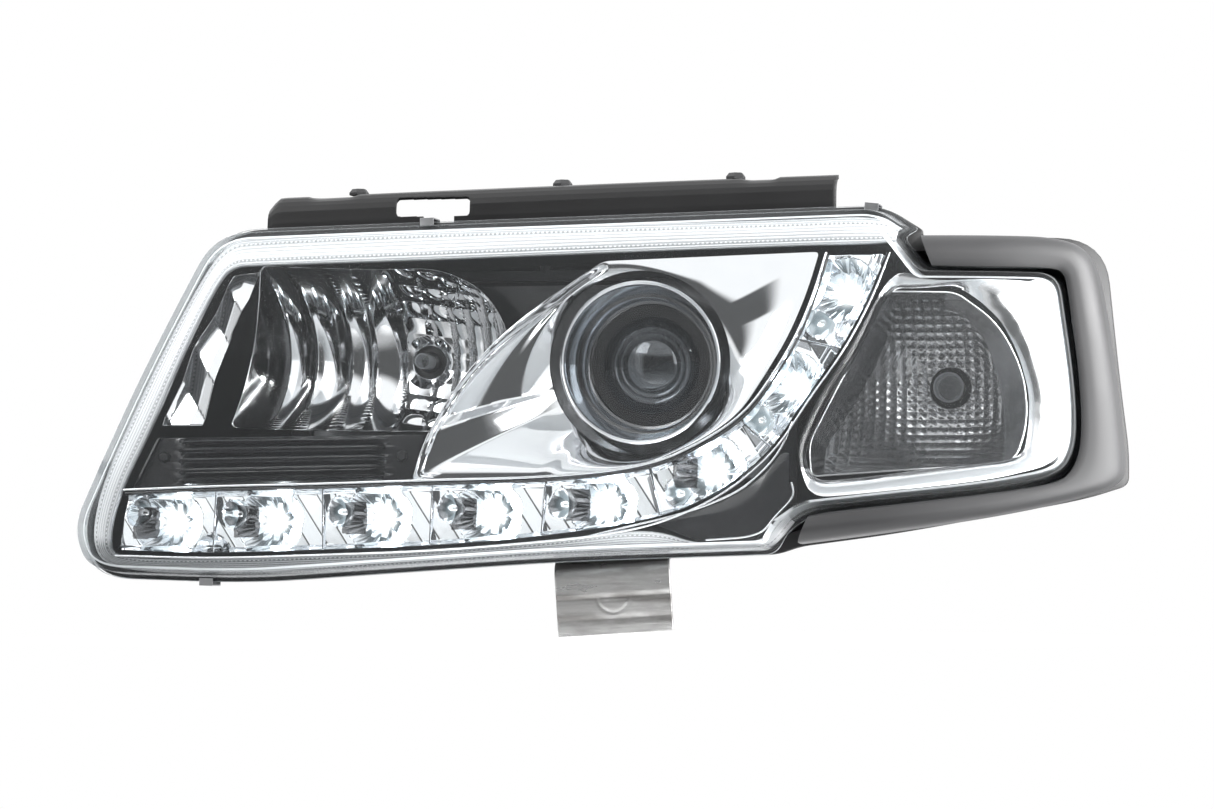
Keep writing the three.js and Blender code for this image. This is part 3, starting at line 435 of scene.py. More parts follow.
def beam(points, half_width, height, draft=0.6):
    """Ribs and bars: a trapezium with rounded top carried along a path; ends fall to a point."""
    path = np.array(points, float)
    ahead = unit(np.gradient(path, axis=0))
    up = np.array(height[0:3], float)
    side = unit(np.cross(ahead, up))
    tall = np.linalg.norm(up)
    section = [(-half_width - draft, -0.5), (-half_width, tall - 0.5), (-half_width * 0.5, tall),
               (half_width * 0.5, tall), (half_width, tall - 0.5), (half_width + draft, -0.5),
               (-half_width - draft, -0.5)]
    rows = [path[:1].repeat(7, 0)] + [
        np.stack([p + s * a + up / tall * b for a, b in section]) for p, s in zip(path, side)]
    return np.array(rows + [path[-1:].repeat(7, 0)])


def rib_path(x0, z0, x1, z1, count=24):
    x, z = np.linspace(x0, x1, count), np.linspace(z0, z1, count)
    return np.stack([x, rear(x), z], 1)


BACK_RIBS = [(-228, 78, -168, 78), (-86, 78, -86, -62), (-74, 44, -34, 44), (-34, -54, 60, -54),
             (66, 44, 112, 44), (112, 80, 112, -48), (66, 4, 112, 4), (-250, -10, -170, -10),
             (-250, -60, -86, -60), (130, 60, 225, 60), (130, -26, 225, -26), (228, 76, 228, -30),
             (-168, 78, -168, 66), (-168, -6, -168, -60)]
for number, ends in enumerate(BACK_RIBS, 1):
    skin(f"back_rib_{number}", beam(rib_path(*ends), 1.1, (0, 4.5, 0)),
         finish=housing_black)


def slab(flat, low, high, round_off):
    """Plate from a closed outline of (x, y), domed shut by shrinking to its middle above and below."""
    centre = flat[:-1].mean(0)
    levels = [(0, low), (1 - round_off / 12, low), (1, low + round_off), (1, high - round_off),
              (1 - round_off / 12, high), (0, high)]
    return np.array([np.column_stack([centre + (flat - centre) * s, np.full(len(flat), z)])
                     for s, z in levels])


def drilled(x, y, sides, hole, low, high, steps=144):
    """Lug plate: a round hole's rim joined to the rectangle round it, top and bottom. sides are the
    distances from the hole's middle to the left, right, front and back edges."""
    turn = np.linspace(0, 2 * np.pi, steps + 1)
    rim = np.stack([np.cos(turn), np.sin(turn)], 1)
    left, right, front, back = sides
    reach_x = np.where(rim[:, :1] < 0, left, right)
    reach_y = np.where(rim[:, 1:] < 0, front, back)
    outer = rim * np.minimum(reach_x / np.maximum(1e-6, np.abs(rim[:, :1])),
                             reach_y / np.maximum(1e-6, np.abs(rim[:, 1:])))
    centre = np.array([x, y])
    rows = [(rim * hole, low), (rim * (hole + 0.5), low), (outer, low), (outer, high),
            (rim * (hole + 0.5), high), (rim * hole, high - 0.5), (rim * hole, low)]
    return np.array([np.column_stack([centre + flat, np.full(len(flat), level)]) for flat, level in rows])


for name, x in (("inner_lug", -180), ("outer_lug", 10)):
    skin(f"{name}_plate", drilled(x - 10, 126, (10, 20, 8, 24), 4.4, 116, 120),
         finish=housing_black, crease=30)
    web = np.array([(x - 20, 134), (x + 10, 134), (x + 10, 138), (x - 20, 138), (x - 20, 134)], float)
    skin(f"{name}_web", slab(web, 84, 116.6, 0.3), finish=housing_black)
skin("side_lug", drilled(244, 232, (12, 12, 20, 14), 4.4, 28, 32), finish=housing_black,
     crease=30)

# ---- Upper rail ---------------------------------------------------------------------------------
# Satin black cover strip screwed along the top; its web has a slot for the front panel's clip and
# shallow notches in its top edge.
RAIL_ENDS = (-209.0, 120.0)
RAIL_SLOT = (-133.0, -90.0, 111.5, 122.8)
CLIP_GAP = (-117.0, -99.0)


def inside_rounded(x, z, box, radius):
    """True inside an upright box, given as low and high x and low and high z, with rounded corners."""
    reach_x = np.abs(x - (box[0] + box[1]) / 2) - (box[1] - box[0]) / 2 + radius
    reach_z = np.abs(z - (box[2] + box[3]) / 2) - (box[3] - box[2]) / 2 + radius
    return np.hypot(np.maximum(reach_x, 0), np.maximum(reach_z, 0)) < radius


def rail_grid():
    """Profile from the web's foot up over the top, with both drawn finely round the slot. Heights
    rise along the rail, two notches dip the front of the top by 1.6 mm, and the top's outer end is
    cut back by a quarter of its depth."""
    near = np.arange(RAIL_SLOT[0] - 1, RAIL_SLOT[1] + 1, 0.3)
    x = np.unique(np.concatenate([np.linspace(*RAIL_ENDS, 120), near]))
    t = (x - RAIL_ENDS[0]) / (RAIL_ENDS[1] - RAIL_ENDS[0])
    low = 101.5 + 9.5 * t
    high = 124 + 10 * t - 6 * np.exp(-((x - RAIL_ENDS[0]) / 3.0)**2)
    dip = 1.6 * (np.exp(-np.abs((x + 172) / 13)**8) + np.exp(-np.abs((x - 76) / 9)**8))
    front = face(x, low + 3)
    rungs = np.array([(34, 0, 0), (34.3, 0.12, 0), (34.5, 0.3, 0), (34.8, 0.42, 0), (35.2, 0.6, 0),
                      (36.2, 0.74, 0), (38, 0.86, 0.3), (40.5, 0.955, 0.8), (43.5, 1, 1), (47, 1, 1),
                      (50, 1, 0.4), (56, 1, 0), (62, 1, 0)])
    way = np.concatenate([[0], np.cumsum(np.hypot(*np.diff(rungs[:, :2] * [1, 26], axis=0).T))])
    fine = np.linspace(0, way[-1], 150)
    deep, share, notch = (np.interp(fine, way, rungs[:, k])[:, None] for k in range(3))
    cut = np.maximum(deep - 44, 0) * 0.25 * np.clip((x - 80) / 40, 0, 1)
    rows = np.stack([x - cut, front + deep, low + (high - low) * share - dip * notch], -1)
    mid = (rows[:-1, :-1] + rows[1:, 1:]) / 2
    slot = inside_rounded(mid[..., 0], mid[..., 2], RAIL_SLOT, 2.4)
    gap = (mid[..., 0] > CLIP_GAP[0]) & (mid[..., 0] < CLIP_GAP[1]) & (mid[..., 2] < RAIL_SLOT[2] + 2.4)
    return rows, ~((slot | gap) & (share[1:] < 0.95))


rail_points, rail_keep = rail_grid()
skin("rail", rail_points, keep=rail_keep, replaces=["upper_rail"], thick=2.2,
     finish=moulded("rail_plastic", 0.007, 0.36, 1900.0, 0.35), towards=(0, -1, 1), crease=50)


def plated(name, tone, rough):
    """Plated or turned steel: fine mottle with a cloudy gloss."""
    recipe = Recipe(name)
    mottle = recipe.noise(160.0, 4.0)
    cloud = recipe.noise(26.0, 3.0)
    shade = recipe.mixed(mottle, (tone * 0.72, tone * 0.73, tone * 0.75, 1), (tone, tone, tone * 1.01, 1))
    return recipe.done(recipe.surface(
        Base_Color=shade, Metallic=1.0, Roughness=cloud.ramp(0.3, 0.7, rough, rough + 0.14),
        Normal=recipe.bump(mottle, 0.12, 0.0002)))


screw_steel = plated("plated_steel", 0.5, 0.28)
dark_screws = plated("black_zinc", 0.06, 0.4)
for number in (1, 2, 3):
    dress(f"rail_screw_{number}", dark_screws, 0.25)

# ---- Surround at the corner ---------------------------------------------------------------------
# Satin black moulding clipped round the cover's outer end, rounded over to a deep outer wall.
SURROUND = [(177, 80.8, 171, 96.5), (210, 81, 212, 97.5), (240, 81.8, 244, 97.8), (250, 79, 260, 91),
            (253, 64, 267, 72), (260, 16, 275.5, 16), (261.5, -24, 280, -27), (254, -41.5, 279.5, -43),
            (240, -46.5, 256, -52.5), (210, -53.2, 214, -62.5), (160, -59.5, 161, -71.2),
            (124, -63.6, 123, -76.4), (113, -65.5, 108, -78.2)]


def capped(grid):
    """Closes both ends of a grid whose rows run round a closed section: each end falls to its middle."""
    first, last = grid[:, :1].mean(0, keepdims=True), grid[:, -1:].mean(0, keepdims=True)
    return np.concatenate([first.repeat(len(grid), 0), grid, last.repeat(len(grid), 0)], 1)


def guided(pairs, profile, count):
    """As band, from one list of paired points (x, z inside, x, z outside), smoothed three times."""
    pairs = np.array(pairs, float)
    return band(pairs[:, :2], pairs[:, 2:], profile, count, 3)[0]


SURROUND_SECTION = [(0, 0.4, 22), (0, -1.6, 12), (0, -3.0, 3.4), (0, -2.6, 1.6), (0, -1, 0.3),
                    (0.1, 0, -0.5), (0.25, 0, -1.2), (0.4, 0, -1.5), (0.6, 0, -1.0), (0.75, 0, 0.1),
                    (0.87, 0, 2), (0.95, 0, 4.6), (1, -0.6, 8), (1, -0.1, 14), (1, 0, 24), (1, -0.6, 25),
                    (1, -2.4, 25), (1, -3, 24), (1, -3.4, 9), (0.5, 0, 3), (0, 3, 3.5), (0, 2.6, 22),
                    (0, 0.4, 22)]
skin("surround", capped(guided(SURROUND, SURROUND_SECTION, 220)), replaces=["outer_surround"],
     finish=moulded("surround_plastic", 0.024, 0.38, 2400.0, 0.2), crease=40)

# ---- Chrome for the trim and reflectors ---------------------------------------------------------


def chrome_finish(name, tone=0.84, rough=0.05, wave=0.1, wave_scale=16.0):
    """Vacuum-metallised plastic: a mirror with the slow ripple of its moulding and a faint haze."""
    recipe = Recipe(name)
    ripple = recipe.noise(wave_scale, 2.0)
    haze = recipe.noise(60.0, 3.0)
    return recipe.done(recipe.surface(
        Base_Color=recipe.mixed(haze, (tone, tone, tone * 1.01, 1),
                                (tone * 0.92, tone * 0.93, tone * 0.95, 1)),
        Metallic=1.0, Roughness=haze.ramp(0.35, 0.75, rough, rough + 0.05),
        Normal=recipe.bump(ripple, wave, 0.002)))


chrome = chrome_finish("chrome")

# ---- Daytime running strip ----------------------------------------------------------------------
# Chrome strip of eight joined cups under and beside the projector, with a board of LEDs behind it.
STRIP = [(-276, -49, -281, -82), (-223, -47, -224, -84), (-161, -46, -160, -82), (-98, -44, -99, -80),
         (-34, -43, -36, -75), (24, -37, 31, -65), (56, -22, 66, -49), (77, -7, 93, -26), (90, 14, 110, 2),
         (103, 37, 130, 31), (112, 62, 144, 60), (119, 85, 153, 86)]
LED_SPOTS = np.array([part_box(f"drl_led_{n}")[0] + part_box(f"drl_led_{n}")[1] for n in range(1, 9)])
LED_SPOTS = LED_SPOTS * 500 + PAD
LED_DEPTH = 33.0
SPARKS = np.array([(-268, -60), (-212, -61), (-151, -60), (-88, -58), (-25, -56), (40, -50), (84, -9),
                   (116, 46)], float)
SCOOPS = np.array([(-226, -84), (-246, -88), (-192, -86), (-131, -84), (-68, -81), (-8, -76), (50, -56),
                   (101, -8), (135, 42)], float)


def distance(x, z, spots):
    return np.hypot(x[..., None] - spots[:, 0], z[..., None] - spots[:, 1])


def cup_depth(x, z):
    """Depth behind the front skin: the deepest of the parabolic cups round the LEDs, the small cups
    that echo them and the half-round scoops along the foot, over a floor 17 mm deep with a gentle
    tent; flutes fan out from each LED."""
    dx, dz = x[..., None] - LED_SPOTS[:, 0], z[..., None] - LED_SPOTS[:, 2]
    r = np.hypot(dx, dz)
    flutes = 1.2 * np.abs(np.sin(np.arctan2(dz, dx) * 4 + 0.4)) * np.clip((r - 4) / 8, 0, 1)
    cup = (LED_DEPTH + 1 - r**2 / 23 + flutes).max(-1)
    spark = (28 - distance(x, z, SPARKS)**2 / 7.5).max(-1)
    scoop = (27 - distance(x, z, SCOOPS)**2 / 15).max(-1)
    tent = 17 + 2.4 * np.abs((x / 11 + z / 17) % 2 - 1)
    return np.maximum(np.maximum(cup, spark), np.maximum(scoop, tent))


def strip_grid(count=900, across=61):
    """Rim, floor of cups and rim: across the strip the shares 0 to 1 ride on cup_depth, faded to the
    rims at both edges, with the rims turned down outside."""
    share = np.linspace(0, 1, across)
    pairs = np.array(STRIP, float)
    inner = band(pairs[:, :2], pairs[:, 2:], [(0, 1, 0)], count, 3)[0][0]
    outer = band(pairs[:, :2], pairs[:, 2:], [(1, -1, 0)], count, 3)[0][0]
    flat = inner[None, :, ::2] * (1 - share[:, None, None]) + outer[None, :, ::2] * share[:, None, None]
    x, z = flat[..., 0], flat[..., 1]
    edge = np.clip(np.minimum(share, 1 - share) * 2 * 6.5, 0, 1)[:, None]
    deep = 12.5 + (cup_depth(x, z) - 12.5) * edge**0.5
    stripes = np.clip((x - 60) / 20, 0, 1) * np.clip((share[:, None] - 0.7) / 0.05, 0, 1)
    deep = deep - 0.5 * stripes * np.abs(np.sin(share[:, None] * np.pi * 26))
    grid = np.stack([x, face(x, z) + deep, z], -1)
    lip_in, lip_out = grid[:1] + [0, 3.2, 0], grid[-1:] + [0, 3.2, 0]
    return np.concatenate([lip_in, grid, lip_out])


strip_points = strip_grid()
strip_gap = np.hypot(strip_points[..., None, 0] - LED_SPOTS[:, 0],
                     strip_points[..., None, 2] - LED_SPOTS[:, 2])
strip_open = strip_gap.min(-1) < 3.9
strip_keep = ~(strip_open[:-1, :-1] & strip_open[1:, 1:])


def strip_finish():
    """Mirror chrome of the cups, with painted light: an emission standing for the LEDs' light spilling
    round each, blue towards its edge. Where the mark is below zero the chrome is made dark.
    """
    recipe = Recipe("strip_chrome")
    glow = recipe.node("ShaderNodeAttribute", {"attribute_name": "mark"}, out="Fac")
    ripple = recipe.noise(70.0, 2.0)
    # painted light: colour of the glow spilling round the LEDs, bluer towards its edge
    spill = recipe.mixed(glow.ramp(0.2, 0.8), (0.34, 0.45, 0.5, 1), (1.0, 1.0, 1.0, 1))
    lit = recipe.mixed(glow.ramp(0.0, 0.9), (0.0, 0.0, 0.0, 1), spill)
    # the chrome's colour is made dark where the mark is below zero
    box = recipe.mixed(glow.ramp(-0.5, -0.1, 1, 0), (0.86, 0.88, 0.9, 1), (0.2, 0.2, 0.205, 1))
    return recipe.done(recipe.surface(Base_Color=box, Metallic=1.0, Roughness=ripple.ramp(0, 1, 0.03, 0.1),
                                      Emission_Color=lit, Emission_Strength=1.3,
                                      Normal=recipe.bump(ripple, 0.1, 0.001)))


strip_x, strip_z = strip_points[..., 0], strip_points[..., 2]
# painted glow: a mark round each LED and, weaker, round each small cup; boxes left of the first six LEDs take
# it below zero
painted_strip_glow = np.exp(-(strip_gap.min(-1) / 9.0)**2)
painted_strip_glow += 0.5 * np.exp(-(distance(strip_x, strip_z, SPARKS).min(-1) / 5.5)**2)
box_x = strip_x[..., None] - LED_SPOTS[:6, 0]
box_z = strip_z[..., None] - LED_SPOTS[:6, 2]
painted_strip_glow -= 0.8 * ((box_x > -21) & (box_x < -9.5) & (box_z > -9) & (box_z < 9)).any(-1)
skin("strip_reflector", strip_points, keep=strip_keep, replaces=["drl_reflector"], thick=0.8,
     finish=strip_finish(), towards=(0, -1, 0), crease=28, marks=painted_strip_glow)

DIVIDERS = [(-223, -47, -224, -84), (-161, -46, -160, -82), (-98, -44, -99, -80), (-34, -43, -36, -75),
            (24, -38, 31, -65), (75, -10, 93, -26), (103, 37, 130, 31)]
for number, (x0, z0, x1, z1) in enumerate(DIVIDERS, 1):
    s = np.linspace(0.04, 0.96, 24)
    x, z = x0 + (x1 - x0) * s, z0 + (z1 - z0) * s
    wall = np.stack([x, face(x, z) + 26, z], 1)
    skin(f"strip_divider_{number}", beam(wall, 0.55, (0, -12.5, 0), 0.4), finish=chrome)


def board_finish():
    """White solder mask with a faint weave."""
    recipe = Recipe("led_board")
    weave = recipe.noise(1500.0, 1.0)
    tone = recipe.mixed(weave, (0.7, 0.71, 0.69, 1), (0.8, 0.8, 0.78, 1))
    return recipe.done(recipe.surface(Base_Color=tone, Roughness=0.45,
                                      Normal=recipe.bump(weave, 0.1, 0.0001)))


def led_finish():
    """Lit LED: white light, strongest in the middle of its dome."""
    recipe = Recipe("led_light")
    rim = recipe.node("ShaderNodeLayerWeight", inputs={"Blend": 0.4}, out=1)
    glow = recipe.mixed(rim, (1.0, 1.0, 1.0, 1), (0.62, 0.78, 1.0, 1))
    return recipe.done(recipe.surface(Base_Color=(0.9, 0.93, 0.97, 1), Roughness=0.2, Emission_Color=glow,
                                      Emission_Strength=24.0))


dress("drl_board", board_finish())
led_light = led_finish()
for number, (x, y, z) in enumerate(LED_SPOTS, 1):
    front = y - 3.2
    skin(f"led_{number}", lathe([(0, front - 0.2), (1, front), (2, front + 0.7), (2.7, front + 1.7),
                                 (3.1, front + 3.2), (3.1, front + 6.2), (0, front + 6.2)], x, z, 32),
         replaces=[f"drl_led_{number}"], finish=led_light)

# ---- Projector's bezel --------------------------------------------------------------------------
# Chrome funnel between the projector and the edges of its bay, with creased corners, a raised wing
# at the lower left and a doubled bead along its left arc.
BEZEL_CORNERS = [
    (-109, -42, 3), (-36, -40.5, 20), (-3, -38.5, 20), (22, -34, 10), (54, -19.5, 14), (74, -5, 12),
    (87, 16, 20), (99.5, 38, 20), (109, 63, 20), (115, 86.5, 3), (-6, 82, 4), (-43, 56, 18), (-66, 36, 18),
    (-82, 17, 18), (-95, -4, 16), (-104, -23, 16)]
BEZEL_HOLE = (14.5, 24.5, 52)


def bezel_grid(rings=90):
    """From the round hole at 25 mm deep out to the rim at 12 mm: the depth rises with the sine of the
    share of the way, less on the flat wing towards the lower left corner; beads ride near the rim."""
    rim = outline(BEZEL_CORNERS, 0, 12, 26)
    angle = np.arctan2(rim[:, 1] - BEZEL_HOLE[1], rim[:, 0] - BEZEL_HOLE[0])
    hole = np.array(BEZEL_HOLE[:2]) + BEZEL_HOLE[2] * np.stack([np.cos(angle), np.sin(angle)], 1)
    share = np.linspace(0, 1, rings)[:, None]
    flat = hole * (1 - share[..., None]) + rim * share[..., None]
    x, z = flat[..., 0], flat[..., 1]
    start = face(*BEZEL_HOLE[:2]) + 25
    end = face(x, z) + 12
    bow = np.sin(share * np.pi / 2)
    deg = np.degrees(angle)
    wing = np.clip((deg + 164) / 3, 0, 1) * np.clip((-124 - deg) / 5, 0, 1)
    panel = np.clip(1 - np.abs(deg - 20) / 34, 0, 1)
    crescent = np.clip((np.abs(deg) - 108) / 14, 0, 1) * (1 - wing) * ((deg > 0) | (deg < -160))
    deep = start * (1 - bow) + end * bow
    deep = deep + panel * 3 * np.sin(share * np.pi)**2 - wing * 7 * share * (1.15 - share)
    deep = deep + crescent * 5 * np.sin(np.pi * np.clip((share - 0.25) / 0.75, 0, 1))**2
    reach = np.linalg.norm(rim - hole, axis=1)
    inward = (1 - share) * reach
    arc = ((deg > 135) | (deg < -150)).astype(float)
    for bead in (1.6, 5.4):
        deep = deep - 1.1 * arc * np.exp(-((inward - bead) / 0.8)**2)
    return np.stack([x, deep, z], -1)


bezel = bezel_grid()
lip = bezel[-1:] + [0, 2.4, 0]
skin("bezel", np.concatenate([bezel[:1] + [0, 3, 0], bezel, lip]), replaces=["projector_bezel"],
     thick=0.8, finish=chrome_finish("bezel_chrome", 0.8, 0.05, 0.05, 9.0),
     towards=(0, -1, 0), crease=24)

# ---- Shelf under the main-beam lamp -------------------------------------------------------------
# Gloss black louvred panel held by two small screws.
def gloss_black():
    """Polished black plastic with a clear top coat and faint swirl marks."""
    recipe = Recipe("gloss_plastic")
    swirl = recipe.noise(220.0, 4.0, (1, 1, 6))
    return recipe.done(recipe.surface(
        Base_Color=recipe.mixed(swirl, (0.008, 0.008, 0.009, 1), (0.02, 0.02, 0.022, 1)), Coat_Weight=0.6,
        Roughness=swirl.ramp(0.3, 0.7, 0.14, 0.26), Normal=recipe.bump(swirl, 0.04, 0.0002)))


glossy = gloss_black()
SHELF = [(-277, -46.5, -110, -43), (-263, -17, -106, -16)]


def shelf_grid(rows=140, cols=60):
    """Bilinear patch 26 mm deep with five louvres: each is a saw tooth in height, faded at the ends,
    with a step up to the reflector along the top."""
    s, t = np.linspace(0, 1, rows)[:, None], np.linspace(0, 1, cols)[None, :]
    low, high = np.array(SHELF[0], float), np.array(SHELF[1], float)
    x = (low[0] * (1 - t) + low[2] * t) * (1 - s) + (high[0] * (1 - t) + high[2] * t) * s
    z = (low[1] * (1 - t) + low[3] * t) * (1 - s) + (high[1] * (1 - t) + high[3] * t) * s
    middle = np.clip((x + 249) / 4, 0, 1) * np.clip((-128 - x) / 4, 0, 1)
    tooth = (s * 5) % 1.0
    louvre = np.where(tooth < 0.75, tooth / 0.75, (1 - tooth) / 0.25)
    deep = 26 - 5.5 * louvre * middle * np.clip(s * 12, 0, 1) * np.clip((1 - s) * 12, 0, 1)
    return np.stack([x, face(x, z) + deep, z], -1)


skin("shelf", shelf_grid(), replaces=["shelf_panel"], thick=2.0, finish=glossy,
     towards=(0, -1, 0), crease=30)
for number in (1, 2):
    dress(f"shelf_screw_{number}", dark_screws, 0.2)

# ---- Side reflector -----------------------------------------------------------------------------
# Chrome filler at the lamp's inner end, cut into stacked facets like folded foil.
SIDE = [(-260, -10, -236.5, -10), (-252, 12, -229, 18), (-243, 37, -222, 44), (-231, 60, -213, 63),
        (-223, 77, -209, 79)]


def side_grid(rows=120, cols=40):
    """Facets: two triangle waves of differing pitch and slant, added, up to 7.4 mm deep."""
    edge = np.array(SIDE, float)
    s = np.linspace(0, 1, rows)
    put = [np.interp(s, np.linspace(0, 1, len(SIDE)), edge[:, k]) for k in range(4)]
    t = np.linspace(0, 1, cols)[None, :]
    x = put[0][:, None] * (1 - t) + put[2][:, None] * t
    z = put[1][:, None] * (1 - t) + put[3][:, None] * t
    coarse = 5 * np.abs(((z / 62 + x / 40) % 1.0) * 2 - 1)
    fine = 2.4 * np.abs(((x / 27 - z / 84 + 0.4) % 1.0) * 2 - 1)
    return np.stack([x, face(x, z) + 21 + (coarse + fine), z], -1)


skin("side_facets", side_grid(), replaces=["side_reflector"], thick=0.8, finish=chrome,
     towards=(0, -1, 0), crease=12)

# ---- Gloss filler under the strip ---------------------------------------------------------------
# Black panel between the strip, the turn lamp and the cover's lower edge, with bright trim lines.
FILLER = [(27, -67, 3), (68, -52, 8), (84, -42, 8), (96, -28, 6), (101.5, -27, 2), (101.5, -44, 4),
          (104.5, -53, 4), (93, -64, 4), (85, -75.5, 3), (54, -77.5, 5)]


def filled(corners, centre, deep, swell, rings=24):
    """Panel from its middle to its outline at one depth behind the front skin, raised in the middle
    by swell and turned back at the rim."""
    flat = outline(corners, 0, 9, 12)
    share = 1 - (1 - np.linspace(0, 1, rings))**1.5
    grid = np.array([on_face(scaled(flat, s, np.array(centre, float)), deep - swell * (1 - s**2))
                     for s in share])
    return np.concatenate([grid, grid[-1:] + [0, 2.2, 0]])


skin("filler", filled(FILLER, (80, -58), 14, 1.5), replaces=["lower_filler"],
     thick=1.6, finish=glossy, towards=(0, -1, 0))


def bead(name, points, radius, deep, finish, slot="chrome", count=160):
    """Round cord of trim carried along a smoothed path at one depth behind the front skin."""
    line = np.array(points, float)
    for _ in range(3):
        line = corners_cut(line)
    way = np.concatenate([[0], np.cumsum(np.linalg.norm(np.diff(line, axis=0), axis=1))])
    at = np.linspace(0, way[-1], count)
    path = on_face(np.stack([np.interp(at, way, line[:, k]) for k in (0, 1)], 1), deep)
    ahead = unit(np.gradient(path, axis=0))
    side = unit(np.cross(ahead, [0, 1, 0]))
    up = np.cross(side, ahead)
    turn = np.linspace(0, 2 * np.pi, 13)[:, None, None]
    tube = path + radius * (np.cos(turn) * side + np.sin(turn) * up)
    return skin(name, capped(tube), finish=finish)


bead("filler_trim_1", [(-14, -75), (15, -68), (41, -62), (66, -53), (81, -44), (96, -28), (103, -10)],
     0.7, 12.6, chrome)
INNER_EDGE = [(-277, -47), (-223, -45), (-161, -44), (-98, -42), (-34, -41), (24, -35), (56, -20), (77, -5),
              (91, 15), (104, 38), (113, 62), (119, 86)]
bead("strip_trim", INNER_EDGE, 0.75, 10.8, chrome, count=300)
bead("strip_groove", np.array(INNER_EDGE) + [1.1, -1.9], 0.75, 11.4, glossy, "satin_black", count=300)
bead("strip_outer_trim", [(-281, -84.3), (-224, -86), (-160, -84), (-99, -82), (-36, -77), (0, -73),
                          (31, -67), (66, -51), (94, -27), (111, 1), (131, 30), (145, 59), (154, 86)],
     0.6, 11.2, chrome, count=300)
bead("filler_trim_2", [(56, -76), (86, -74), (94, -63), (105, -52), (103, -44)], 0.6, 12.8, chrome)

# ---- Turn lamp ----------------------------------------------------------------------------------
# Chrome frame at the corner round a dark metallised reflector pressed with pillow facets; a plain
# panel closes its outer side. The frame's outer side and bands and the panel are painted bright,
# partly for their chrome and partly as painted reflection of the light from the right.
TURN_FRAME = [
    (153, 66, 156, 77), (170, 66, 178, 70), (190, 68, 205, 72), (203, 59, 239, 71), (214, 48, 243, 58),
    (223, 30, 246, 32), (229, 8, 248.5, 6), (229, -12, 249.5, -14), (226, -30, 244, -33),
    (185, -35, 208, -42.5), (140, -41, 140, -50.5), (113, -43, 113, -52.5), (109, -26, 105, -25),
    (121, 2, 117, 3.5), (138, 30, 134, 31.5)]


def round_guide(pairs, profile, count):
    """As band, along a closed pair of guide lines, each rounded at its corners."""
    pairs = np.array(pairs, float)
    lines = []
    for k in (0, 2):
        line = np.concatenate([pairs[:, k:k + 2], pairs[:1, k:k + 2]])
        for _ in range(3):
            cut = np.stack([line[:-1] * 0.8 + line[1:] * 0.2, line[:-1] * 0.2 + line[1:] * 0.8], 1)
            line = np.concatenate([cut.reshape(-1, 2), cut.reshape(-1, 2)[:1]])
        lines.append(line)
    return band(*lines, profile, count)[0]


def turn_finish(name, dim):
    """Dark metallising, as dim as given, and bright chrome where the mesh carries a mark, its
    brightness partly painted reflection of the light from the right.
    """
    recipe = Recipe(name)
    bright = recipe.node("ShaderNodeAttribute", {"attribute_name": "mark"}, out="Fac")
    cloud = recipe.noise(120.0, 3.0)
    return recipe.done(recipe.surface(
        Base_Color=recipe.mixed(bright, (dim, dim, dim * 1.01, 1), (0.95, 0.95, 0.96, 1)), Metallic=1.0,
        Roughness=cloud.ramp(0.3, 0.7, 0.1, 0.2), Normal=recipe.bump(cloud, 0.08, 0.0005)))


turn_band = round_guide(TURN_FRAME, [
    (0, 0.3, 24), (0, 0, 20), (0.12, 0, 17.4), (0.3, 0, 15.4), (0.5, 0, 14.2), (0.7, 0, 13.2), (0.9, 0, 12.4),
    (1, 0, 12.2), (1, 0.3, 13)], 620)
frame_x, frame_z = turn_band[..., 0], turn_band[..., 2]
# mark for bright chrome on the frame's outer side, top and bottom, partly painted reflection
outer_side_painted_bright = np.clip((frame_x - 0.45 * frame_z - 128) / 6, 0, 1) + (frame_z > 62) + (frame_z < -36)
skin("turn_frame", turn_band, replaces=["turn_bezel"], thick=0.8,
     finish=turn_finish("frame_chrome", 0.07), towards=(0, -1, 0), crease=40, marks=np.clip(outer_side_painted_bright, 0, 1))

TURN = (*TURN_LAMP, 182.0, 22.0, 12.0)
TURN_CORNERS = [(112, -41, 4), (222, -33, 10), (229, -8, 16), (226, 20, 20), (212, 48, 16), (189, 65, 6),
                (150, 65, 6), (136, 32, 14), (110, -22, 8)]


def dish_grid(corners, lamp, pattern, rings, side):
    """Parabolic dish from its bulb hole out to its outline, with a pattern added to its depth."""
    x0, z0, vertex, focal, hole = lamp
    rim = outline(corners, 1, 9, side)
    angle = np.arctan2(rim[:, 1] - z0, rim[:, 0] - x0)
    start = np.array([x0, z0]) + hole * np.stack([np.cos(angle), np.sin(angle)], 1)
    share = (np.linspace(0, 1, rings)**0.8)[:, None, None]
    flat = start * (1 - share) + rim * share
    x, z = flat[..., 0], flat[..., 1]
    y = vertex - ((x - x0)**2 + (z - z0)**2) / (4 * focal) - pattern(x, z)
    return np.stack([x, y, z], -1)


def panel_edge(z):
    """Line where the turn lamp's plain outer panel starts, at each height."""
    return TURN_LAMP[0] + 34 * np.sqrt(np.clip(1 - ((z + 24) / 82)**2, 0, 1))


def pillows(x, z):
    """Pillow facets 5.6 mm wide and 4.6 mm high, bulging 0.75 mm, up to the line where the plain outer
    panel starts."""
    inside = np.clip((panel_edge(z) - x) / 2, 0, 1)
    return 0.75 * np.abs(np.sin(np.pi * x / 5.6)) * np.abs(np.sin(np.pi * z / 4.6)) * inside


turn_dish = dish_grid(TURN_CORNERS, TURN, pillows, 150, 34)
turn_walls = np.array([turn_dish[-1] * [1, 1 - t, 1] + [0, 1, 0] * on_face(turn_dish[-1][:, ::2], 21) * t
                       for t in np.linspace(0.04, 1, 14)])
turn_grid = np.concatenate([turn_dish, turn_walls])
# mark for the bright outer panel and upper walls, partly painted reflection
turn_panel_painted_bright = turn_grid[..., 0] > panel_edge(turn_grid[..., 2])
turn_panel_painted_bright[-14:] |= turn_walls[..., 2] > 50
skin("turn_facets", turn_grid, replaces=["turn_reflector"], thick=0.9,
     finish=turn_finish("turn_chrome", 0.42), towards=(0, -1, 0), crease=25, marks=turn_panel_painted_bright.astype(float))


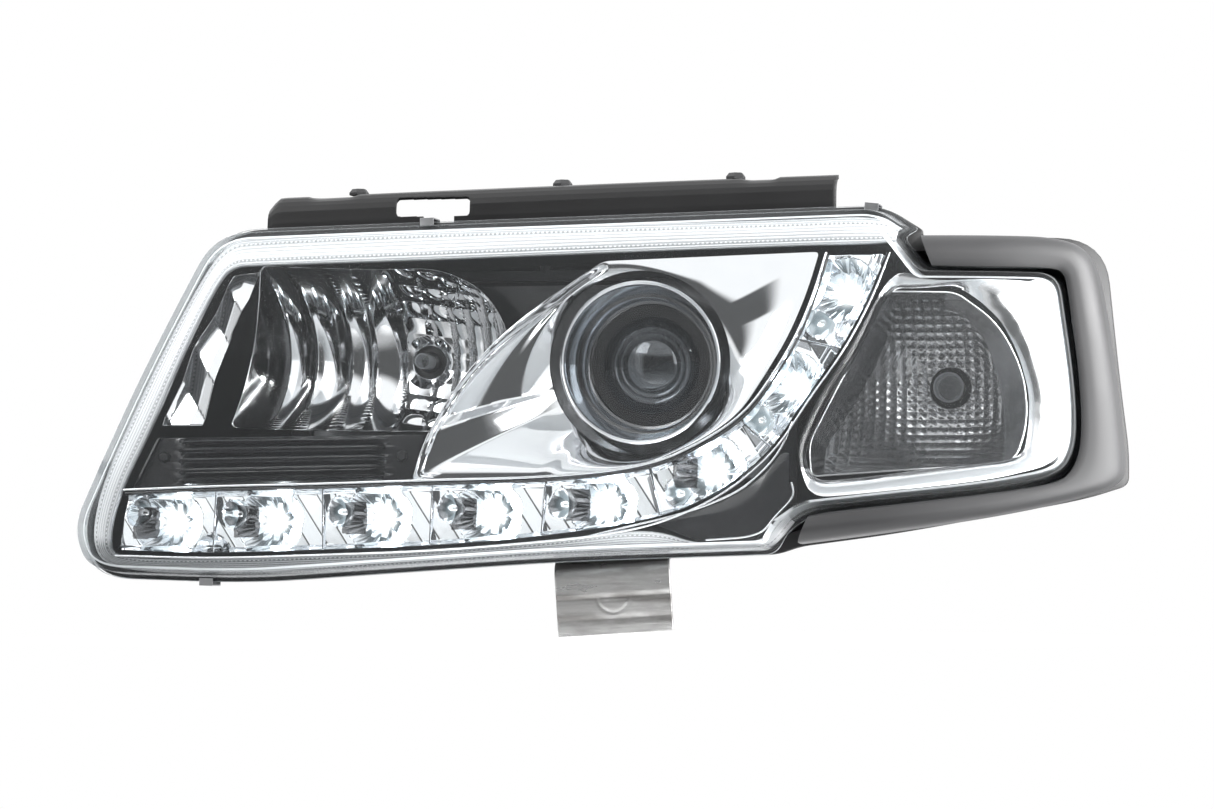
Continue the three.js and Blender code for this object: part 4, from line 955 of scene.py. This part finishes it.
def glass_finish(name="bulb_glass", tint=(0.97, 0.98, 0.99, 1), low=0.06):
    """Clear glass with a reflection that grows to its rim."""
    recipe = Recipe(name)
    edge = recipe.node("ShaderNodeLayerWeight", inputs={"Blend": 0.35}, out=1)
    shine = recipe.surface(Base_Color=(0.8, 0.83, 0.86, 1), Metallic=0.0, Roughness=0.03)
    through = recipe.node("ShaderNodeBsdfTransparent", inputs={0: tint})
    share = edge.ramp(0, 1, low, 0.85)
    return recipe.done(recipe.node("ShaderNodeMixShader", inputs={0: share, 1: through, 2: shine}))


bulb_glass = glass_finish()
frosted_metal = plated("lamp_metal", 0.13, 0.3)


def bulb_pieces(name, x, z, seat, body, node):
    """Glass capsule, filament coil and turned metal base, on one seat."""
    skin(f"{name}_capsule", lathe([(0, seat - 27), (1.6, seat - 26.8), (3, seat - 26), (4.2, seat - 24.4),
                                   (4.6, seat - 22.5), (4.6, seat - 7), (4.3, seat - 6)], x, z, 40),
         body=body, replaces=[node], finish=bulb_glass)
    turn = np.linspace(0, 2 * np.pi * 9, 200)
    coil = np.stack([x + 0.9 * np.cos(turn), seat - 19 + turn / 12, z + 0.9 * np.sin(turn)], 1)
    side = unit(np.stack([np.cos(turn), np.zeros(200), np.sin(turn)], 1))
    lift = np.cross(unit(np.gradient(coil, axis=0)), side)
    ring = np.linspace(0, 2 * np.pi, 7)[:, None, None]
    skin(f"{name}_filament", capped(coil + 0.16 * (np.cos(ring) * side + np.sin(ring) * lift)), body=body,
         finish=frosted_metal)
    skin(f"{name}_base", lathe([(0, seat - 6.6), (4, seat - 6.4), (6, seat - 5), (6.4, seat - 4.4),
                                (6.4, seat - 2.6), (5.9, seat - 2.2), (5.9, seat - 1.4), (6.4, seat - 1),
                                (6.4, seat - 0.2), (10.7, seat), (11, seat + 0.3), (11, seat + 1.3),
                                (10.7, seat + 1.6), (4.4, seat + 1.7), (4, seat + 2), (4, seat + 11.6),
                                (3.6, seat + 12), (0, seat + 12)], x, z, 40), body=body,
         finish=frosted_metal)


skin("turn_bulb_glass", lathe([(0, 160), (2.6, 160.4), (5, 161.7), (7, 163.7), (8.4, 166.3), (9, 169.4),
                               (8.9, 172), (8.3, 175), (7.6, 178), (7.1, 180.4)], *TURN_LAMP, 48),
     body="turn_socket", replaces=["turn_bulb"],
     finish=glass_finish("amber_free_glass", (0.95, 0.95, 0.96, 1), 0.1))
skin("turn_bulb_base", lathe([(0, 179.6), (6.4, 180), (7, 180.6), (7, 186), (6.8, 186.3), (7, 186.6),
                              (7, 199.4), (0, 199.4)], *TURN_LAMP, 48), body="turn_socket",
     finish=frosted_metal)
dress("turn_bulb_holder", grey_plastic, 0.5)

# ---- Lower bracket ------------------------------------------------------------------------------
# Tab of bright pressed steel screwed under the housing: a rolled top, two soft creases across it
# and a faint ring pressed in the middle.
BRACKET = dict(x=-1.0, half=33.0, z=-87.0, foot=-128.5, lean=-0.066)


def bracket_grid(cols=90):
    """Section: leg forward under the housing, a 9 mm roll, then the upright tab; the tab swells and
    dips by half a millimetre at its creases. The whole leans by 0.066 rad about the depth axis."""
    y = np.concatenate([np.linspace(36, 6, 12), 5.5 - 5.5 * np.sin(np.linspace(0.1, np.pi / 2, 14)),
                        np.zeros(60)])
    z = np.concatenate([np.linspace(4, 0.8, 12), -9 + 9.6 * np.cos(np.linspace(0.1, np.pi / 2, 14)),
                        np.linspace(-9.4, BRACKET["foot"] - BRACKET["z"], 60)])
    across = np.linspace(-BRACKET["half"], BRACKET["half"], cols)
    dent = 0.5 * np.exp(-((z + 21) / 1.6)**2) + 0.35 * np.exp(-((z + 33) / 1.8)**2)
    half_ring = np.hypot(across[None, :], (z[:, None] + 20))
    pressed = 0.3 * np.exp(-((half_ring - 9.5) / 0.8)**2) * (z[:, None] < -20)
    deep = np.clip(y[:, None] + dent[:, None] * (z[:, None] < -10) + pressed, 0, 99)
    x = np.broadcast_to(across, deep.shape)
    up = np.broadcast_to(z[:, None], deep.shape)
    c, s = np.cos(BRACKET["lean"]), np.sin(BRACKET["lean"])
    front = face(0.0, -90.0) + FLANGE_BACK + 6
    return np.stack([x * c + up * s + BRACKET["x"], deep + front, -x * s + up * c + BRACKET["z"]], -1)


def bracket_finish():
    """Bright zinc plate with brushed lines across, smudges, and painted shade as a darker band at
    each crease.
    """
    recipe = Recipe("bracket_steel")
    _, _, z = recipe.axes()
    brushed = recipe.noise(60.0, 4.0, (1, 1, 14))
    smudge = recipe.noise(34.0, 5.0, (1, 1, 3))
    # painted shade: darker bands along the two creases
    upper = (z + 0.224).maths("ABSOLUTE").ramp(0.0, 0.004, 0.5, 0)
    lower = (z + 0.236).maths("ABSOLUTE").ramp(0, 0.005, 0.4, 0)
    crease = upper + lower
    tone = recipe.mixed(smudge.ramp(0.35, 0.65) * 0.55 + crease, (0.4, 0.4, 0.395, 1), (0.14, 0.135, 0.13, 1))
    return recipe.done(recipe.surface(Base_Color=tone, Metallic=0.9,
                                      Roughness=smudge.ramp(0.3, 0.7, 0.26, 0.42),
                                      Normal=recipe.bump(brushed + smudge, 0.2, 0.0004)))


bracket_steel = bracket_finish()
skin("bracket", bracket_grid(), replaces=["lower_bracket"], thick=2.3, finish=bracket_steel,
     towards=(0, -1, 0), crease=40)
for number in (1, 2):
    dress(f"bracket_screw_{number}", screw_steel, 0.3)
for number in (1, 2, 3, 4):
    dress(f"lens_clip_{number}", screw_steel, 0.25)

# ---- Aiming frame and optic carrier -------------------------------------------------------------
# Glass-filled plastic frame on an upright pivot, and the carrier that tilts in it with both lamps.
dress("aim_frame", grey_plastic, 0.5)
dress("optic_carrier", chrome_finish("smoked_chrome", 0.3, 0.16, 0.25, 14.0), 0.5)

# ---- Main-beam lamp -----------------------------------------------------------------------------
# Deep metallised reflector, its left half in tall curved scallops and its right half rippled, with
# a capsule bulb held by a hairpin clip.
MAIN = (*HIGH_BEAM, 136.0, 32.0, 9.5)
MAIN_CORNERS = [(-224, -12, 5), (-112, -12, 6), (-86, -4, 16), (-73, 16, 20), (-72, 46, 20), (-88, 72, 20),
                (-116, 85, 14), (-210, 84, 5)]
SCALLOP_EDGES = np.array([-226, -200, -187.5, -170, -157, -140, -124, -112, -102, -92, -82, -70], float)


def scallops(x, z):
    """Tall flutes whose edges bow to the left above and below the bulb: each bulges forward between
    its edges by a share of its width. The right half adds level ripples, the top fine ribs."""
    bowed = x + 9 * ((z - 32) / 50)**2
    cell = np.clip(np.searchsorted(SCALLOP_EDGES, bowed) - 1, 0, len(SCALLOP_EDGES) - 2)
    low, high = SCALLOP_EDGES[cell], SCALLOP_EDGES[cell + 1]
    t = np.clip((bowed - low) / (high - low), 0, 1)
    bulge = (high - low) * 0.13 * (4 * t * (1 - t))
    right = np.clip((bowed + 138) / 10, 0, 1)
    ripple = right * (0.45 * np.abs(np.sin(np.pi * (z / 9 + x / 60))) + 0.12 * np.sin(z / 1.9 + x / 14))
    fine = np.clip((z - 58) / 8, 0, 1) * np.clip((bowed + 112) / 6, 0, 1) * 0.4 * np.sin(x * 2.1)
    r = np.hypot(x - MAIN[0], z - MAIN[1])
    return (bulge + ripple + fine) * np.clip((r - 10) / 6, 0, 1)


main_grid = dish_grid(MAIN_CORNERS, MAIN, scallops, 200, 40)
skin("main_reflector", main_grid, body="optics", replaces=["high_beam_reflector"], thick=0.9,
     finish=chrome_finish("reflector_chrome", 0.82, 0.05, 0.04, 30.0), towards=(0, -1, 0), crease=22)
bulb_pieces("high_bulb", *HIGH_BEAM, 139, "optics", "high_beam_bulb")
dress("high_beam_clip", screw_steel)

# ---- Projector ----------------------------------------------------------------------------------
# Chrome shroud ring round a plano-convex glass lens in a turned holder, with the bowl, the cut-off
# shield and the bulb behind.
skin("shroud", lathe([(44, 60.4), (44.2, 59.0), (45, 58.15), (45.6, 58), (46.2, 58.4), (46.5, 59.5),
                      (46.5, 63), (45, 65.6), (37.6, 90.4), (37.2, 91), (35.3, 91), (35, 90.4), (35, 88),
                      (35.6, 86.4), (38, 79.2), (38.4, 78.6), (38.2, 77.6), (40.4, 71), (43.4, 62),
                      (44, 60.4)], *LOW_BEAM, 128),
     body="optics", replaces=["projector_shroud"],
     finish=chrome_finish("shroud_chrome", 0.8, 0.04, 0.02, 12.0))
skin("holder_ring", lathe([(27.8, 92.2), (28.4, 91.6), (34.6, 91.6), (35.2, 92.2), (35.2, 93.4), (36.6, 93.8),
                           (36.6, 106), (51.4, 106), (52, 106.6), (52, 109.4), (51.4, 110), (27.6, 110),
                           (27.6, 93), (27.8, 92.2)], *LOW_BEAM, 96), body="optics", replaces=["lens_holder"],
     finish=chrome_finish("holder_metal", 0.16, 0.16, 0.05, 60.0))


def lens_glass():
    """Dark optical glass: a mirror-like sheen over a deep grey body, brighter to the rim."""
    recipe = Recipe("projector_glass")
    edge = recipe.node("ShaderNodeFresnel", inputs={"IOR": 1.6})
    swirl = recipe.noise(30.0, 1.0)
    sheen = recipe.surface(Base_Color=(0.5, 0.52, 0.55, 1), Metallic=1.0, Roughness=0.02,
                           Normal=recipe.bump(swirl, 0.02, 0.001))
    through = recipe.node("ShaderNodeBsdfTransparent", inputs={0: (0.75, 0.78, 0.8, 1)})
    share = edge.ramp(0.0, 0.7, 0.16, 0.8)
    return recipe.done(recipe.node("ShaderNodeMixShader", inputs={0: share, 1: through, 2: sheen}))


skin("condenser", lathe([(0, 81), (3, 81.12), (6, 81.5), (9, 82.15), (12, 83.1), (15, 84.4), (18, 86.1),
                         (21, 88.3), (23.5, 90.6), (25.6, 93.2), (26.8, 95), (27.2, 95.8), (27.2, 98),
                         (26, 98), (0, 98)], *LOW_BEAM, 96), body="optics",
     replaces=["projector_lens"], finish=lens_glass(), crease=60)
bowl_metal = chrome_finish("bowl_metal", 0.5, 0.18, 0.2, 60.0)
dress("projector_bowl", bowl_metal)
dress("cutoff_shield", bowl_metal, 0.15)
bulb_pieces("low_bulb", *LOW_BEAM, 163, "optics", "low_beam_bulb")
dress("low_beam_clip", screw_steel)

# ---- Rear caps, motor, socket and adjusters -----------------------------------------------------
# Bayonet caps with rubber rings, the levelling motor, the wiring socket and the two hand knobs.
cap_plastic = moulded("cap_plastic", 0.022, 0.46, 1800.0, 0.3)
for node in ("high_beam_cap", "low_beam_cap"):
    dress(node, cap_plastic, 0.8)
    dress(f"{node}_seal", rubber)
for node in ("levelling_motor", "connector_socket", "level_knob", "aim_knob"):
    dress(node, grey_plastic, 0.6)
for node in ("level_rod", "aim_rod"):
    dress(node, screw_steel)
dress("breather_cap", rubber, 0.8)


def grips(name, x, z, radius, low, high, count, body, finish=grey_plastic):
    """Ridges along a cap or knob: a wave of so many crests round a short sleeve."""
    turn = np.linspace(0, 2 * np.pi, count * 8 + 1)
    wave = radius + 0.55 * np.abs(np.cos(turn * count / 2))**3
    rows = [(0.2, low), (1, low + 0.4), (1, high - 0.4), (0.2, high)]
    grid = []
    for crest, y in rows:
        reach = radius - 1 + (wave - radius + 1) * crest
        grid.append(np.stack([x + reach * np.cos(turn), np.full(len(turn), y), z + reach * np.sin(turn)], 1))
    grid = np.array(grid)
    return skin(name, np.concatenate([grid, grid[:1]]), finish=finish, body=body)


grips("high_cap_grips", *HIGH_BEAM, 42.2, 187, 200, 60, "high_cap", cap_plastic)
grips("low_cap_grips", *LOW_BEAM, 48.2, 187, 200, 68, "low_cap", cap_plastic)
grips("level_knob_grips", -60, 70, 9.5, 218.8, 225, 24, "level_knob")
grips("aim_knob_grips", -206, -34, 12, 185, 189.6, 30, "aim_knob")

# ---- Floor, light and camera --------------------------------------------------------------------
middle_x, middle_y = -0.01, -0.086


def floor_finish():
    """Pale floor that fades out away from the lamp."""
    recipe = Recipe("studio_floor")
    x, y, _ = recipe.axes()
    away = (((x - middle_x) * (x - middle_x) + (y - middle_y) * (y - middle_y)) ** 0.5).ramp(0.02, 0.34)
    pale = recipe.surface(Base_Color=(0.95, 0.95, 0.95, 1), Roughness=0.9, Emission_Color=(1, 1, 1, 1),
                          Emission_Strength=0.9)
    clear_air = recipe.node("ShaderNodeBsdfTransparent")
    return recipe.done(recipe.node("ShaderNodeMixShader", inputs={0: away, 1: pale, 2: clear_air}))


FLOOR_RADIUS = 0.7
angle = np.linspace(0, 2 * np.pi, 64, endpoint=False)
low_z = cad_box[0][2] - 0.0005
ring = np.stack([middle_x + FLOOR_RADIUS * np.cos(angle), middle_y + FLOOR_RADIUS * np.sin(angle),
                 np.full(64, low_z)], 1)
disc = bpy.data.meshes.new("floor")
disc.from_pydata(ring.tolist(), [], [list(range(64))])
floor = bpy.data.objects.new("floor", disc)
bpy.context.scene.collection.objects.link(floor)
disc.materials.append(floor_finish())

world = bpy.data.worlds.new("studio")
bpy.context.scene.world = world


def studio(world):
    """Pale backdrop to the eye; in reflections a dark room with bright panels above, left and right,
    grey behind the camera and pale below."""
    recipe = Recipe("studio", world)
    ray = recipe.node("ShaderNodeLightPath", out="Is Camera Ray")
    x, y, z = recipe.axes(recipe.node("ShaderNodeTexCoord", out="Generated"))
    above = z.ramp(0.26, 0.44) * z.ramp(0.8, 0.97, 1, 0.5)
    left = (x * -1).ramp(0.28, 0.46) * z.ramp(-0.4, -0.1)
    right = x.ramp(0.62, 0.86)
    below = (z * -1).ramp(0.12, 0.4)
    far = y.ramp(0.05, 0.4)
    level = 0.09 + above * 1.25 + left * 1.1 + right * 1.5 + below * 0.55 + far * 0.6
    light = recipe.node("ShaderNodeBackground", inputs={0: (0.985, 0.99, 1.0, 1), 1: level})
    seen = recipe.node("ShaderNodeBackground", inputs={0: (1, 1, 1, 1), 1: 1.0})
    return recipe.done(recipe.node("ShaderNodeMixShader", inputs={0: ray, 1: light, 2: seen}),
                       "ShaderNodeOutputWorld")


studio(world)


def soft_light(name, spot, target, size, power):
    lamp = bpy.data.lights.new(name, "AREA")
    lamp.shape, lamp.size, lamp.size_y, lamp.energy = "RECTANGLE", size[0], size[1], power
    made = bpy.data.objects.new(name, lamp)
    made.location = spot
    made.rotation_euler = (Vector(target) - Vector(spot)).to_track_quat("-Z", "Y").to_euler()
    bpy.context.scene.collection.objects.link(made)


centre = (middle_x, middle_y, -0.11)
soft_light("key", (-0.9, -1.5, 1.1), centre, (1.2, 0.8), 12)
soft_light("fill", (1.4, -1.1, 0.5), centre, (0.8, 1.0), 8)
soft_light("top", (0.0, -0.1, 1.5), centre, (1.6, 1.0), 12)
soft_light("corner", (1.25, 0.12, 0.05), (0.25, 0.0, -0.11), (0.7, 1.2), 55)

AZIMUTH, ELEVATION, DISTANCE = np.radians(12), np.radians(-2.5), 2.2
target = np.array([middle_x, middle_y, -0.116])
back = np.array([np.sin(AZIMUTH) * np.cos(ELEVATION), -np.cos(AZIMUTH) * np.cos(ELEVATION),
                 np.sin(ELEVATION)])
view = bpy.data.cameras.new("camera")
view.sensor_width = 36
view.lens = 116.5
view.clip_start, view.clip_end = 0.01, 50
camera = bpy.data.objects.new("camera", view)
camera.location = target + back * DISTANCE
camera.rotation_euler = Vector(-back).to_track_quat("-Z", "Y").to_euler()
bpy.context.scene.collection.objects.link(camera)
bpy.context.scene.camera = camera
bpy.context.scene.view_settings.view_transform = "Standard"
